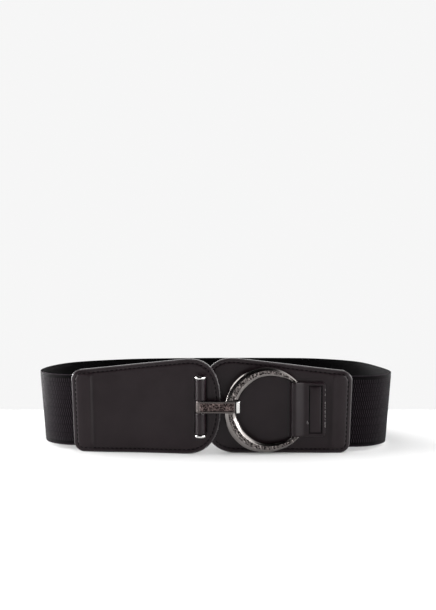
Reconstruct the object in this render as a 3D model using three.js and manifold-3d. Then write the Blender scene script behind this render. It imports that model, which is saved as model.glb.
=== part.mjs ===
// Wide elastic stretch belt, buckled: woven band, two tapered leather panels, T-hook and crescent ring.
// Millimetres, +Z up, +X to the wearer's left as seen from the front, -Y to the front.
// The belt stands on its lower edge. The origin is at the middle of the footprint, on the floor.

import * as THREE from 'three';
import { mergeVertices } from 'three/addons/utils/BufferGeometryUtils.js';
import Module from 'manifold-3d';

const wasm = await Module();
wasm.setup();

// Clearance between neighbouring pieces
const CLEARANCE = 0.3;

// Loop in plan, along the middle of the band
const LOOP_WIDTH = 300;
const LOOP_DEPTH = 141;
const SIDE_LEAN = 0.074;

// Elastic band
const ELASTIC_WIDTH = 60.6;
const ELASTIC_THICKNESS = 1.5;
const ELASTIC_LIFT = 4.6;

// Leather panels
const PANEL_LENGTH = 125.5;
const PANEL_OUTER_HEIGHT = 69;
const PANEL_SHOULDER_HEIGHT = 79.8;
const PANEL_THICKNESS = 3;
const PANEL_CORNER_RADIUS = 8.5;
const PANEL_ROUND_END = 32;
const PANEL_ROUND_POWER = 2.5;
const PANEL_END_SLANT = 2.3;
const PANEL_OVERLAP = 16.4;
const PANEL_SPREAD = 8.6;
const POCKET_DEPTH = 16;
const POCKET_WALL = 1.3;
const POCKET_RAMP = 4;

// Share of the leather beyond the pocket's long edges over which its swelling fades
const POCKET_FADE_SHARE = 0.75;

// Share of a panel from which its outer end starts to stand out of square
const SLANT_START_SHARE = 0.7;

// Rod of the hook, its flanges and its leather loops
const ROD_INSET = 16.2;
const ROD_HEIGHT = 41.2;
const ROD_RADIUS = 2.4;
const ROD_LENGTH = 51;
const FLANGE_RADIUS = 5.1;
const FLANGE_THICKNESS = 2;
const FLANGE_STUD_RADIUS = 1.3;
const FLANGE_STUD_RISE = 0.4;
const FLANGE_ROUND = 0.4;
const STUD_TOP_RADIUS = 0.91;
const LOOP_LEATHER = 1.5;
const LOOP_SEAT_DEPTH = 1.1;

// Hook
const HOOK_HEIGHT = 9.8;
const HOOK_THICKNESS = 1.4;
const HOOK_EYE_WALL = 1.4;
const HOOK_BEND_RADIUS = 2.6;
const HOOK_LEG_LENGTH = 7.5;
const HOOK_BORDER = 1.3;
const HOOK_INSET_DEPTH = 0.45;
const HOOK_INSET_LEAD = 0.6;
const HOOK_INSET_END = 5.2;
const HOOK_SLANT_ROOM = 0.16;

// Crescent ring and its bar
const RING_RADIUS = 36;
const RING_WIDTH = 9.9;
const RING_THICKNESS = 3.8;
const RING_TIP_THICKNESS = 0.7;
const RING_TIP_WIDTH = 4.2;
const RING_HEIGHT = 37.5;
const RING_BAR_RADIUS = 1.8;
const RING_BAR_INSET = 78.4;
const RING_BAR_SHARE = 0.7;
const RING_BAR_SEAT = 1.2;

// Leather tab of the ring
const TAB_LEATHER = 1.4;
const TAB_HEIGHT = 45.8;
const TAB_CORNER_RADIUS = 3;
const TAB_FLAT_START = 9;
const TAB_POCKET_ROOM = 1.6;

// The tab's front layer leaves its roll at this angle, degrees, and bends over to lie flat: how far
// the bend reaches at the flat, as a share of where the flat starts, and at the roll, of that reach
const TAB_LEAVE_ANGLE = 55;
const TAB_BEND_SHARE = 0.3;
const TAB_ROLL_BEND_SHARE = 0.8;

// Plan of the loop behind the panels, clockwise from the left panel: places across the loop as
// shares of half its width, and places back from the right panel as shares of its depth
const PLAN = [
  { place: 'left end of panel', across: -0.807, back: 0.06 },
  { place: 'left front', across: -0.945, back: 0.18 },
  { place: 'left side', across: -1.0, back: 0.345 },
  { place: 'left back quarter', across: -0.958, back: 0.6 },
  { place: 'left back corner', across: -0.84, back: 0.79 },
  { place: 'left back', across: -0.55, back: 0.936 },
  { place: 'back', across: -0.16, back: 0.988 },
  { place: 'right back', across: 0.3, back: 0.997 },
  { place: 'right back bulge', across: 0.62, back: 0.965 },
  { place: 'right back corner', across: 0.835, back: 0.83 },
  { place: 'right back quarter', across: 0.945, back: 0.57 },
  { place: 'right side', across: 0.988, back: 0.265 },
  { place: 'right front', across: 0.9, back: 0.09 },
  { place: 'right end of panel', across: 0.765, back: 0.008 },
];
const OVERLAP_ACROSS = -0.028;

// Share of the elastic's free length over which it comes down from a panel's pocket to the floor
const SETTLE_SHARE = 0.32;

// Ring along its crescent, angles from the bar's side: width as a share of the widest place and
// outer radius as a share of the largest
const RING_TIP_REACH = 0.972;
const RING_TAPER = [
  { angle: 45, width: RING_TIP_WIDTH / RING_WIDTH, reach: RING_TIP_REACH },
  { angle: 57, width: 0.5, reach: 0.974 },
  { angle: 69, width: 0.65, reach: 0.981 },
  { angle: 90, width: 0.8, reach: 0.996 },
  { angle: 130, width: 0.95, reach: 1 },
  { angle: 180, width: 1, reach: 1 },
];

// Section of the ring from its inner edge to its outer edge: across as shares of the width there,
// rise from the flat back as shares of the thickness
const RING_SECTION = [
  { edge: 'inner back', across: 0.04, rise: 0 },
  { edge: 'inner rim', across: 0, rise: 0.3 },
  { edge: 'inner bevel', across: 0.12, rise: 0.72 },
  { edge: 'inner crest', across: 0.32, rise: 1 },
  { edge: 'outer crest', across: 0.68, rise: 1 },
  { edge: 'outer bevel', across: 0.88, rise: 0.72 },
  { edge: 'outer rim', across: 1, rise: 0.3 },
  { edge: 'outer back', across: 0.96, rise: 0 },
];

const LEATHER = { color: 0x33302f, roughness: 0.55, metalness: 0 };
const ELASTIC = { color: 0x242226, roughness: 0.9, metalness: 0 };
const GUNMETAL = { color: 0x6e6563, roughness: 0.32, metalness: 1 };
const POLISHED = { color: 0xb9b6b4, roughness: 0.15, metalness: 1 };

const smooth = (share) => THREE.MathUtils.smoothstep(share, 0, 1);

// Solids

function namedMesh(name, geometry, finish) {
  const mesh = new THREE.Mesh(geometry, new THREE.MeshStandardMaterial(finish));
  mesh.name = name;
  geometry.computeVertexNormals();
  return mesh;
}

function signedVolume(points, faces) {
  let sum = 0;
  for (const [a, b, c] of faces) {
    sum += points[a].dot(new THREE.Vector3().crossVectors(points[b], points[c])) / 6;
  }
  return sum;
}

function solidFrom(points, faces) {
  const outward = signedVolume(points, faces) > 0;
  const index = faces.flatMap(([a, b, c]) => (outward ? [a, b, c] : [a, c, b]));
  const geometry = new THREE.BufferGeometry().setFromPoints(points);
  geometry.setIndex(index);
  return geometry;
}

// Skin over closed rings of points that follow each other; the end rings are closed by a fan
function loft(rings) {
  const count = rings[0].length;
  const faces = [];
  for (let r = 0; r + 1 < rings.length; r++) {
    for (let k = 0; k < count; k++) {
      const a = r * count + k;
      const b = r * count + ((k + 1) % count);
      faces.push([a, b, b + count], [a, b + count, a + count]);
    }
  }
  const last = (rings.length - 1) * count;
  for (let k = 1; k + 1 < count; k++) {
    faces.push([0, k + 1, k], [last, last + k, last + k + 1]);
  }
  return solidFrom(rings.flat(), faces);
}

// Skin of a thin wall: each section has a front column and a back column of as many points
function wall(sections) {
  const rows = sections[0].front.length;
  const points = sections.flatMap((section) => [...section.front, ...section.back]);
  const front = (s, row) => s * 2 * rows + row;
  const back = (s, row) => front(s, row) + rows;
  const faces = [];
  const quad = (a, b, c, d) => faces.push([a, b, c], [a, c, d]);
  for (let s = 0; s + 1 < sections.length; s++) {
    for (let row = 0; row + 1 < rows; row++) {
      quad(front(s, row), front(s + 1, row), front(s + 1, row + 1), front(s, row + 1));
      quad(back(s, row), back(s, row + 1), back(s + 1, row + 1), back(s + 1, row));
    }
    quad(front(s, 0), back(s, 0), back(s + 1, 0), front(s + 1, 0));
    quad(front(s, rows - 1), front(s + 1, rows - 1), back(s + 1, rows - 1), back(s, rows - 1));
  }
  const end = sections.length - 1;
  for (let row = 0; row + 1 < rows; row++) {
    quad(front(0, row), front(0, row + 1), back(0, row + 1), back(0, row));
    quad(front(end, row), back(end, row), back(end, row + 1), front(end, row + 1));
  }
  return solidFrom(points, faces);
}

function toManifold(geometry) {
  const bare = new THREE.BufferGeometry();
  bare.setAttribute('position', geometry.getAttribute('position'));
  bare.setIndex(geometry.getIndex());
  const merged = mergeVertices(bare, 1e-4);
  const vertProperties = new Float32Array(merged.getAttribute('position').array);
  const triVerts = new Uint32Array(merged.getIndex().array);
  return new wasm.Manifold(new wasm.Mesh({ numProp: 3, vertProperties, triVerts }));
}

function fromManifold(solid) {
  const { numProp, vertProperties, triVerts } = solid.getMesh();
  const positions = [];
  for (let v = 0; v < vertProperties.length; v += numProp) {
    positions.push(vertProperties[v], vertProperties[v + 1], vertProperties[v + 2]);
  }
  const geometry = new THREE.BufferGeometry();
  geometry.setAttribute('position', new THREE.Float32BufferAttribute(positions, 3));
  geometry.setIndex(Array.from(triVerts));
  return geometry;
}

function cut(geometry, ...tools) {
  const solid = tools.reduce((left, tool) => left.subtract(toManifold(tool)), toManifold(geometry));
  return fromManifold(solid);
}

function join(first, ...others) {
  return fromManifold(others.reduce((sum, other) => sum.add(toManifold(other)), toManifold(first)));
}

function common(first, second) {
  return fromManifold(toManifold(first).intersect(toManifold(second)));
}

function box(low, high) {
  const size = new THREE.Vector3().subVectors(high, low);
  const middle = new THREE.Vector3().addVectors(low, high).multiplyScalar(0.5);
  return new THREE.BoxGeometry(size.x, size.y, size.z).translate(middle.x, middle.y, middle.z);
}

// Straight prism along Z with its outline in X and Y
function prism(shape, height, curveSegments = 10) {
  const geometry = new THREE.ExtrudeGeometry(shape, { depth: height, bevelEnabled: false, curveSegments });
  return geometry.translate(0, 0, -height / 2);
}

// Prism along Y with a rounded rectangle as its outline in X and Z
function roundedSlab(left, right, height, radius, front, back) {
  const half = height / 2;
  const shape = new THREE.Shape();
  shape.moveTo(left + radius, -half);
  shape.lineTo(right - radius, -half);
  shape.absarc(right - radius, -half + radius, radius, -Math.PI / 2, 0);
  shape.lineTo(right, half - radius);
  shape.absarc(right - radius, half - radius, radius, 0, Math.PI / 2);
  shape.lineTo(left + radius, half);
  shape.absarc(left + radius, half - radius, radius, Math.PI / 2, Math.PI);
  shape.lineTo(left, -half + radius);
  shape.absarc(left + radius, -half + radius, radius, Math.PI, 1.5 * Math.PI);
  return prism(shape, back - front, 5).rotateX(Math.PI / 2).translate(0, (front + back) / 2, 0);
}

// Path of the belt in plan, from the left panel's inner tip round the back to the right panel's

const halfWidth = LOOP_WIDTH / 2;
const leftTip = new THREE.Vector3(OVERLAP_ACROSS * halfWidth + PANEL_OVERLAP / 2, -PANEL_SPREAD, 0);
const rightTip = new THREE.Vector3(OVERLAP_ACROSS * halfWidth - PANEL_OVERLAP / 2, 0, 0);
const planPoints = PLAN.map((row) => new THREE.Vector3(row.across * halfWidth, row.back * LOOP_DEPTH, 0));
const leftMiddle = new THREE.Vector3().lerpVectors(leftTip, planPoints[0], 0.5);
const rightMiddle = new THREE.Vector3().lerpVectors(rightTip, planPoints.at(-1), 0.5);
rightMiddle.y = 0;
const path = new THREE.CatmullRomCurve3(
  [leftTip, leftMiddle, ...planPoints, rightMiddle, rightTip], false, 'centripetal');
path.arcLengthDivisions = 3000;
const pathLength = path.getLength();

// Place and outward direction of the path at a distance along it
function station(distance) {
  const share = THREE.MathUtils.clamp(distance / pathLength, 0, 1);
  const along = path.getTangentAt(share);
  return { at: path.getPointAt(share), out: new THREE.Vector3(-along.y, along.x, 0), along };
}

// Point at a distance along the belt, outwards from its middle and at a height
function beltPoint(distance, outwards, height) {
  const { at, out } = station(distance);
  const lean = SIDE_LEAN * out.x ** 2 * (height - ELASTIC_WIDTH / 2);
  return at.clone().addScaledVector(out, outwards + lean).setZ(height);
}

// Frame on the belt: X to the right, Y to the inside of the loop
function seatFrame(distance, outwards, height) {
  const { along } = station(distance);
  const frame = new THREE.Group();
  frame.position.copy(beltPoint(distance, outwards, height));
  frame.rotation.z = Math.atan2(-along.y, -along.x);
  return frame;
}

// Lower edge of the elastic: up in the pockets, down on the floor at the back
function elasticFoot(distance) {
  const free = Math.min(distance, pathLength - distance) - PANEL_LENGTH;
  const settling = SETTLE_SHARE * (pathLength - 2 * PANEL_LENGTH);
  const settled = THREE.MathUtils.clamp(free / settling, 0, 1);
  return ELASTIC_LIFT * (1 - settled) ** 2;
}

function elasticBand() {
  const inPocket = POCKET_DEPTH - 2 * CLEARANCE;
  const start = PANEL_LENGTH - inPocket;
  const end = pathLength - start;
  const steps = 150;
  const half = ELASTIC_THICKNESS / 2;
  const sections = [];
  for (let step = 0; step <= steps; step++) {
    const distance = start + ((end - start) * step) / steps;
    const foot = elasticFoot(distance);
    const heights = [0, 0.25, 0.5, 0.75, 1].map((share) => foot + share * ELASTIC_WIDTH);
    sections.push({
      front: heights.map((height) => beltPoint(distance, half, height)),
      back: heights.map((height) => beltPoint(distance, -half, height)),
    });
  }
  return wall(sections);
}

// Top edge line of a panel, before its ends are rounded, at a distance from its inner tip
function panelTopLine(inset) {
  const slope = (PANEL_OUTER_HEIGHT - PANEL_SHOULDER_HEIGHT) / (PANEL_LENGTH - PANEL_ROUND_END);
  return PANEL_SHOULDER_HEIGHT + slope * (inset - PANEL_ROUND_END);
}

// Lowest and highest point of a panel at a distance from its inner tip
function panelEdges(inset) {
  const top = panelTopLine(inset);
  if (inset < PANEL_ROUND_END) {
    const reach = 1 - inset / PANEL_ROUND_END;
    const fill = (1 - reach ** PANEL_ROUND_POWER) ** (1 / PANEL_ROUND_POWER);
    return [(top * (1 - fill)) / 2, (top * (1 + fill)) / 2];
  }
  const cornerStart = PANEL_LENGTH - PANEL_CORNER_RADIUS;
  const past = Math.max(inset - cornerStart, 0);
  const drop = PANEL_CORNER_RADIUS - Math.sqrt(PANEL_CORNER_RADIUS ** 2 - past ** 2);
  return [drop, top - drop];
}

// Distances from the inner tip at which a panel's sections stand
function panelInsets() {
  const insets = [];
  const endSteps = 14;
  const firstAngle = 0.05;
  for (let step = 0; step < endSteps; step++) {
    const angle = THREE.MathUtils.lerp(firstAngle, Math.PI / 2, step / endSteps);
    insets.push(PANEL_ROUND_END * (1 - Math.cos(angle) ** (2 / PANEL_ROUND_POWER)));
  }
  const rampStart = PANEL_LENGTH - POCKET_DEPTH - POCKET_RAMP;
  const plainSteps = 8;
  for (let step = 0; step < plainSteps; step++) {
    insets.push(THREE.MathUtils.lerp(PANEL_ROUND_END, rampStart, step / plainSteps));
  }
  const rampSteps = 4;
  for (let step = 0; step <= rampSteps; step++) {
    insets.push(rampStart + (POCKET_RAMP * step) / rampSteps);
  }
  const cornerStart = PANEL_LENGTH - PANEL_CORNER_RADIUS;
  const cornerSteps = 7;
  const lastAngle = 1.52;
  for (let step = 0; step <= cornerSteps; step++) {
    const angle = THREE.MathUtils.lerp(0, lastAngle, step / cornerSteps);
    insets.push(cornerStart + PANEL_CORNER_RADIUS * Math.sin(angle));
  }
  return insets;
}

const pocketGap = ELASTIC_THICKNESS + 2 * CLEARANCE;
const pocketLow = ELASTIC_LIFT - CLEARANCE;
const pocketHigh = ELASTIC_LIFT + ELASTIC_WIDTH + CLEARANCE;
const pocketSwell = (pocketGap + 2 * POCKET_WALL - PANEL_THICKNESS) / 2;

// Half the thickness of a panel: it swells where the elastic lies between its two faces
function panelHalfThickness(inset, height) {
  const along = smooth((inset - (PANEL_LENGTH - POCKET_DEPTH - POCKET_RAMP)) / POCKET_RAMP);
  const margin = pocketLow * POCKET_FADE_SHARE;
  const above = smooth((height - (pocketLow - margin)) / margin);
  const below = smooth((pocketHigh + margin - height) / margin);
  return PANEL_THICKNESS / 2 + pocketSwell * along * above * below;
}

// The outer end stands a little out of square, wider at the top
function slanted(inset, height) {
  const start = PANEL_LENGTH * SLANT_START_SHARE;
  const near = smooth((inset - start) / (PANEL_LENGTH - start));
  return inset + near * PANEL_END_SLANT * (height / PANEL_OUTER_HEIGHT - 0.5);
}

// Rows of points up a panel as shares of its height, closer together past the pocket's edges
function panelRows() {
  const low = pocketLow / PANEL_OUTER_HEIGHT;
  const high = pocketHigh / PANEL_OUTER_HEIGHT;
  const lowRows = [0, 0.35, 0.7, 1].map((share) => share * low);
  const highRows = [0, 0.3, 0.65, 1].map((share) => high + share * (1 - high));
  return [...lowRows, 0.5, ...highRows];
}

// Leather panel with its pocket; distanceOf turns a distance from the inner tip into one on the path
function panel(distanceOf) {
  const sections = panelInsets().map((inset) => {
    const [low, high] = panelEdges(inset);
    const heights = panelRows().map((share) => THREE.MathUtils.lerp(low, high, share));
    const side = (sign) => heights.map((height) => {
      const outwards = sign * panelHalfThickness(inset, height);
      return beltPoint(distanceOf(slanted(inset, height)), outwards, height);
    });
    return { front: side(1), back: side(-1) };
  });
  const pocketSteps = 8;
  const pocketEnd = PANEL_LENGTH + PANEL_END_SLANT + PANEL_THICKNESS;
  const pocket = [];
  for (let step = 0; step <= pocketSteps; step++) {
    const inset = THREE.MathUtils.lerp(PANEL_LENGTH - POCKET_DEPTH, pocketEnd, step / pocketSteps);
    const side = (sign) => [pocketLow, pocketHigh].map((height) => (
      beltPoint(distanceOf(inset), (sign * pocketGap) / 2, height)));
    pocket.push({ front: side(1), back: side(-1) });
  }
  return cut(wall(sections), wall(pocket));
}

const fromLeftTip = (inset) => inset;
const fromRightTip = (inset) => pathLength - inset;

// Rod and its seat on the left panel

const rodStandoff = FLANGE_RADIUS + CLEARANCE;
const panelFace = PANEL_THICKNESS / 2;
const rodFrame = seatFrame(fromLeftTip(ROD_INSET), panelFace + rodStandoff, ROD_HEIGHT);
const loopInner = ROD_RADIUS + CLEARANCE;
const loopOuter = loopInner + LOOP_LEATHER;
const loopBottom = HOOK_HEIGHT / 2 + CLEARANCE;
const loopTop = ROD_LENGTH / 2 - FLANGE_THICKNESS - CLEARANCE;

function hookRod() {
  const half = ROD_LENGTH / 2;
  const inner = half - FLANGE_THICKNESS;
  const profile = (sign) => [
    [ROD_RADIUS, sign * inner],
    [FLANGE_RADIUS - FLANGE_ROUND, sign * inner],
    [FLANGE_RADIUS, sign * (inner + FLANGE_ROUND)],
    [FLANGE_RADIUS, sign * (half - FLANGE_ROUND)],
    [FLANGE_RADIUS - FLANGE_ROUND, sign * half],
    [FLANGE_STUD_RADIUS, sign * half],
    [STUD_TOP_RADIUS, sign * (half + FLANGE_STUD_RISE)],
    [0, sign * (half + FLANGE_STUD_RISE)],
  ];
  const outline = [...profile(-1).reverse(), ...profile(1)].map(([r, y]) => new THREE.Vector2(r, y));
  return new THREE.LatheGeometry(outline, 32).rotateX(Math.PI / 2);
}

// Section of a leather loop: round the rod, with both ends seated in slits of the panel
function loopShape() {
  const seat = rodStandoff + LOOP_SEAT_DEPTH;
  const shape = new THREE.Shape();
  shape.moveTo(loopOuter, seat);
  shape.lineTo(loopOuter, 0);
  shape.absarc(0, 0, loopOuter, 0, -Math.PI, true);
  shape.lineTo(-loopOuter, seat);
  shape.lineTo(-loopInner, seat);
  shape.lineTo(-loopInner, 0);
  shape.absarc(0, 0, loopInner, -Math.PI, 0, false);
  shape.lineTo(loopInner, seat);
  return shape;
}

function rodLoop(low, high) {
  return prism(loopShape(), high - low, 16).translate(0, 0, (low + high) / 2);
}

// Slits of the left panel in which the loops' ends sit
function loopSlits() {
  const tools = [];
  for (const [low, high] of [[loopBottom, loopTop], [-loopTop, -loopBottom]]) {
    for (const side of [-1, 1]) {
      const near = side * loopInner - side * CLEARANCE;
      const far = side * loopOuter + side * CLEARANCE;
      const corner = new THREE.Vector3(Math.min(near, far), rodStandoff - PANEL_THICKNESS, low - CLEARANCE);
      const opposite = new THREE.Vector3(
        Math.max(near, far), rodStandoff + LOOP_SEAT_DEPTH + CLEARANCE, high + CLEARANCE);
      tools.push(box(corner, opposite));
    }
  }
  rodFrame.updateMatrixWorld(true);
  return tools.map((tool) => tool.applyMatrix4(rodFrame.matrixWorld));
}

// Ring: its bar stands on the right panel and its free side leans out to the hook

const barHole = RING_BAR_RADIUS + CLEARANCE;
const tabRoll = barHole + TAB_LEATHER;
const barStandoff = tabRoll + CLEARANCE;
const barFrame = seatFrame(fromRightTip(RING_BAR_INSET), panelFace + barStandoff, RING_HEIGHT);

// The tab reaches from its fold round the bar to just short of the pocket
const tabReach = PANEL_LENGTH - POCKET_DEPTH - POCKET_RAMP - TAB_POCKET_ROOM - RING_BAR_INSET;
const tipRadius = RING_RADIUS * RING_TIP_REACH - RING_TIP_WIDTH / 2;
const ringToBar = RING_BAR_SHARE * tipRadius;
const rimReach = ringToBar + RING_RADIUS - RING_WIDTH / 2;

// Space behind the hook's bar for the ring's rim, with room for the ring's slant
const hookThroat = RING_THICKNESS + RING_WIDTH * HOOK_SLANT_ROOM + 2 * CLEARANCE;
const eyeRadius = ROD_RADIUS + CLEARANCE + HOOK_EYE_WALL;
const rimDepth = rodFrame.position.y - eyeRadius + HOOK_THICKNESS + hookThroat / 2;
const ringTilt = Math.asin((barFrame.position.y - rimDepth) / rimReach);

// Width and outer radius of the crescent at an angle from the bar's side
function crescentAt(angle) {
  const degrees = THREE.MathUtils.radToDeg(Math.min(angle, 2 * Math.PI - angle));
  const last = RING_TAPER.length - 1;
  const next = THREE.MathUtils.clamp(RING_TAPER.findIndex((row) => row.angle >= degrees), 1, last);
  const [from, to] = [RING_TAPER[next - 1], RING_TAPER[next]];
  const share = THREE.MathUtils.clamp((degrees - from.angle) / (to.angle - from.angle), 0, 1);
  return {
    width: RING_WIDTH * THREE.MathUtils.lerp(from.width, to.width, share),
    outer: RING_RADIUS * THREE.MathUtils.lerp(from.reach, to.reach, share),
  };
}

// Height above the ring's middle at which its tips end, square over the tab's edges
const tipFoot = TAB_HEIGHT / 2 + CLEARANCE;
const tipAngle = Math.asin(TAB_HEIGHT / 2 / (RING_RADIUS * RING_TIP_REACH));

// Ring in its own frame: the bar is the upright at the origin, the crescent reaches to the left
function ring() {
  const steps = 88;
  const sections = [];
  for (let step = 0; step <= steps; step++) {
    const angle = THREE.MathUtils.lerp(tipAngle, 2 * Math.PI - tipAngle, step / steps);
    const { width, outer } = crescentAt(angle);
    const thickness = RING_THICKNESS * THREE.MathUtils.lerp(RING_TIP_THICKNESS, 1, width / RING_WIDTH);
    sections.push(RING_SECTION.map((corner) => {
      const radius = outer - width * (1 - corner.across);
      const depth = thickness * (0.5 - corner.rise);
      return new THREE.Vector3(radius * Math.cos(angle) - ringToBar, depth, radius * Math.sin(angle));
    }));
  }
  const corner = new THREE.Vector3(RING_WIDTH, RING_THICKNESS, tipFoot);
  const between = box(corner.clone().negate(), corner);
  const barLength = 2 * (tipFoot + RING_BAR_SEAT);
  const bar = new THREE.CylinderGeometry(RING_BAR_RADIUS, RING_BAR_RADIUS, barLength, 24);
  return join(cut(loft(sections), between), bar.rotateX(Math.PI / 2));
}

// Tab: one strip folded round the bar, both layers lying on the right panel
function ringTab() {
  const end = tabReach;
  const frontInner = barHole - CLEARANCE;
  const frontOuter = frontInner - TAB_LEATHER;
  const leave = -THREE.MathUtils.degToRad(TAB_LEAVE_ANGLE);
  const onRoll = (radius) => new THREE.Vector2(radius * Math.cos(leave), radius * Math.sin(leave));
  const outerLeave = onRoll(tabRoll);
  const innerLeave = onRoll(barHole);
  const pull = TAB_FLAT_START * TAB_BEND_SHARE;
  const along = new THREE.Vector2(-Math.sin(leave), Math.cos(leave));
  const outerPull = outerLeave.clone().addScaledVector(along, pull * TAB_ROLL_BEND_SHARE);
  const innerPull = innerLeave.clone().addScaledVector(along, pull * TAB_ROLL_BEND_SHARE);
  const shape = new THREE.Shape();
  shape.moveTo(end, frontOuter);
  shape.lineTo(TAB_FLAT_START, frontOuter);
  shape.bezierCurveTo(
    TAB_FLAT_START - pull, frontOuter, outerPull.x, outerPull.y, outerLeave.x, outerLeave.y);
  shape.absarc(0, 0, tabRoll, leave, -1.5 * Math.PI, true);
  shape.lineTo(end, tabRoll);
  shape.lineTo(end, barHole);
  shape.lineTo(0, barHole);
  shape.absarc(0, 0, barHole, -1.5 * Math.PI, leave, false);
  shape.bezierCurveTo(
    innerPull.x, innerPull.y, TAB_FLAT_START - pull, frontInner, TAB_FLAT_START, frontInner);
  shape.lineTo(end, frontInner);
  const sides = roundedSlab(-2 * tabRoll, end, TAB_HEIGHT, TAB_CORNER_RADIUS, -2 * tabRoll, 2 * tabRoll);
  return common(prism(shape, TAB_HEIGHT, 14), sides);
}

// Hook in the rod's frame turned square to the belt: eye at the origin, bar in front, bend to the right
function hook() {
  const offCentre = Math.abs(ROD_HEIGHT - RING_HEIGHT) + HOOK_HEIGHT / 2;
  const rimChord = Math.sqrt((RING_RADIUS - RING_WIDTH) ** 2 - offCentre ** 2);
  const rimInner = barFrame.position.x - (ringToBar + rimChord) * Math.cos(ringTilt);
  const bendInside = rimInner - rodFrame.position.x + CLEARANCE;
  const right = bendInside + HOOK_THICKNESS;
  const front = -eyeRadius;
  const barBack = front + HOOK_THICKNESS;
  const legFront = barBack + hookThroat;
  const legBack = legFront + HOOK_THICKNESS;
  const bend = HOOK_BEND_RADIUS;
  const shape = new THREE.Shape();
  shape.moveTo(0, front);
  shape.lineTo(right - bend, front);
  shape.absarc(right - bend, front + bend, bend, -Math.PI / 2, 0);
  shape.lineTo(right, legBack - bend);
  shape.absarc(right - bend, legBack - bend, bend, 0, Math.PI / 2);
  shape.lineTo(right - HOOK_LEG_LENGTH, legBack);
  shape.lineTo(right - HOOK_LEG_LENGTH, legFront);
  shape.lineTo(bendInside, legFront);
  shape.lineTo(bendInside, barBack);
  const meet = Math.asin(barBack / eyeRadius);
  shape.lineTo(eyeRadius * Math.cos(meet), barBack);
  shape.absarc(0, 0, eyeRadius, meet, -Math.PI / 2, false);
  const hole = new THREE.Path();
  hole.absarc(0, 0, ROD_RADIUS + CLEARANCE, 0, 2 * Math.PI, true);
  shape.holes.push(hole);
  const inset = roundedSlab(-HOOK_INSET_LEAD, right - HOOK_INSET_END, HOOK_HEIGHT - 2 * HOOK_BORDER,
    HOOK_BORDER, front - HOOK_THICKNESS, front + HOOK_INSET_DEPTH);
  return cut(prism(shape, HOOK_HEIGHT, 16), inset);
}

// The belt, each piece in its place

const belt = new THREE.Group();

const leftPanel = cut(panel(fromLeftTip), ...loopSlits());
belt.add(namedMesh('elastic_band', elasticBand(), ELASTIC));
belt.add(namedMesh('left_panel', leftPanel, LEATHER));
belt.add(namedMesh('right_panel', panel(fromRightTip), LEATHER));

rodFrame.add(namedMesh('hook_rod', hookRod(), POLISHED));
rodFrame.add(namedMesh('upper_rod_loop', rodLoop(loopBottom, loopTop), LEATHER));
rodFrame.add(namedMesh('lower_rod_loop', rodLoop(-loopTop, -loopBottom), LEATHER));
belt.add(rodFrame);

const hookFrame = new THREE.Group();
hookFrame.position.copy(rodFrame.position);
hookFrame.add(namedMesh('hook', hook(), GUNMETAL));
belt.add(hookFrame);

const ringFrame = new THREE.Group();
ringFrame.position.copy(barFrame.position);
ringFrame.rotation.z = ringTilt;
ringFrame.add(namedMesh('ring', ring(), GUNMETAL));
belt.add(ringFrame);
barFrame.add(namedMesh('ring_tab', ringTab(), LEATHER));
belt.add(barFrame);

// Origin at the middle of the footprint, on the floor
belt.updateMatrixWorld(true);
const bounds = new THREE.Box3().setFromObject(belt, true);
const middle = bounds.getCenter(new THREE.Vector3());
belt.position.set(-middle.x, -middle.y, -bounds.min.z);
belt.updateMatrixWorld(true);

export default belt;
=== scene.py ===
"""Looks of the buckled elastic stretch belt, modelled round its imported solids.

Lengths inside the classes are millimetres in the plan frame, whose origin is on the floor below the
middle of the clasp's right panel. Finished meshes are in metres in the row's frame.
"""
import logging
import math
import random
from dataclasses import dataclass, field
from enum import Enum
from typing import Callable, Optional, Sequence

import bmesh
import bpy
import numpy as np
from mathutils import Matrix, Vector, noise


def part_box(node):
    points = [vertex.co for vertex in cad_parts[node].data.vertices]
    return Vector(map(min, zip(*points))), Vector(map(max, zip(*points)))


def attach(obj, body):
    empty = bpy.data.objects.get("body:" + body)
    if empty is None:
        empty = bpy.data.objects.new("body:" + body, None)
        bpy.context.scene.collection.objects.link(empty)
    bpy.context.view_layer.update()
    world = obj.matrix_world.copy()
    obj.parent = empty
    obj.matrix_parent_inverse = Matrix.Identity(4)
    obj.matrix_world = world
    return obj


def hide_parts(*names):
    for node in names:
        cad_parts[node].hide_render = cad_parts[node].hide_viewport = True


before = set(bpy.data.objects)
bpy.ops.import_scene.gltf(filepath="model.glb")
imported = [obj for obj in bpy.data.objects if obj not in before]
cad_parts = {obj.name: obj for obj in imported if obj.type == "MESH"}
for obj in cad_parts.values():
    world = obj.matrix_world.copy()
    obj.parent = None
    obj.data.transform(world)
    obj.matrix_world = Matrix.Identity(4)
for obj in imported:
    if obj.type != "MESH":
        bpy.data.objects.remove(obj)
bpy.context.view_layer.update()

MM = 0.001
BODY = "root"
LOG = logging.getLogger("stretch_belt")
WELD = 1e-6
SPIN_WELD = 1e-4
NOISE_ROUGHNESS = 0.55
RELIEF = "relief"
Points = np.ndarray
Pair = tuple[float, float]
Triple = tuple[float, float, float]
Fade = tuple[float, float, float, float]
Mesh = bmesh.types.BMesh
Object = bpy.types.Object
Material = bpy.types.Material
Tree = bpy.types.NodeTree
Node = bpy.types.Node
Socket = bpy.types.NodeSocket


class Slot(Enum):
    """Material slots of the record."""

    ELASTIC = "elastic_webbing"
    LEATHER = "panel_leather"
    GUNMETAL = "gunmetal"
    POLISHED = "polished_metal"


def smooth(share: Points) -> Points:
    """Returns a share from 0 to 1 eased at both ends."""
    share = np.clip(share, 0.0, 1.0)
    return share * share * (3.0 - 2.0 * share)


def walked(line: Points) -> Points:
    """Returns the length walked to each point of a line."""
    return np.concatenate([[0.0], np.cumsum(np.linalg.norm(np.diff(line, axis=0), axis=1))])


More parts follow.
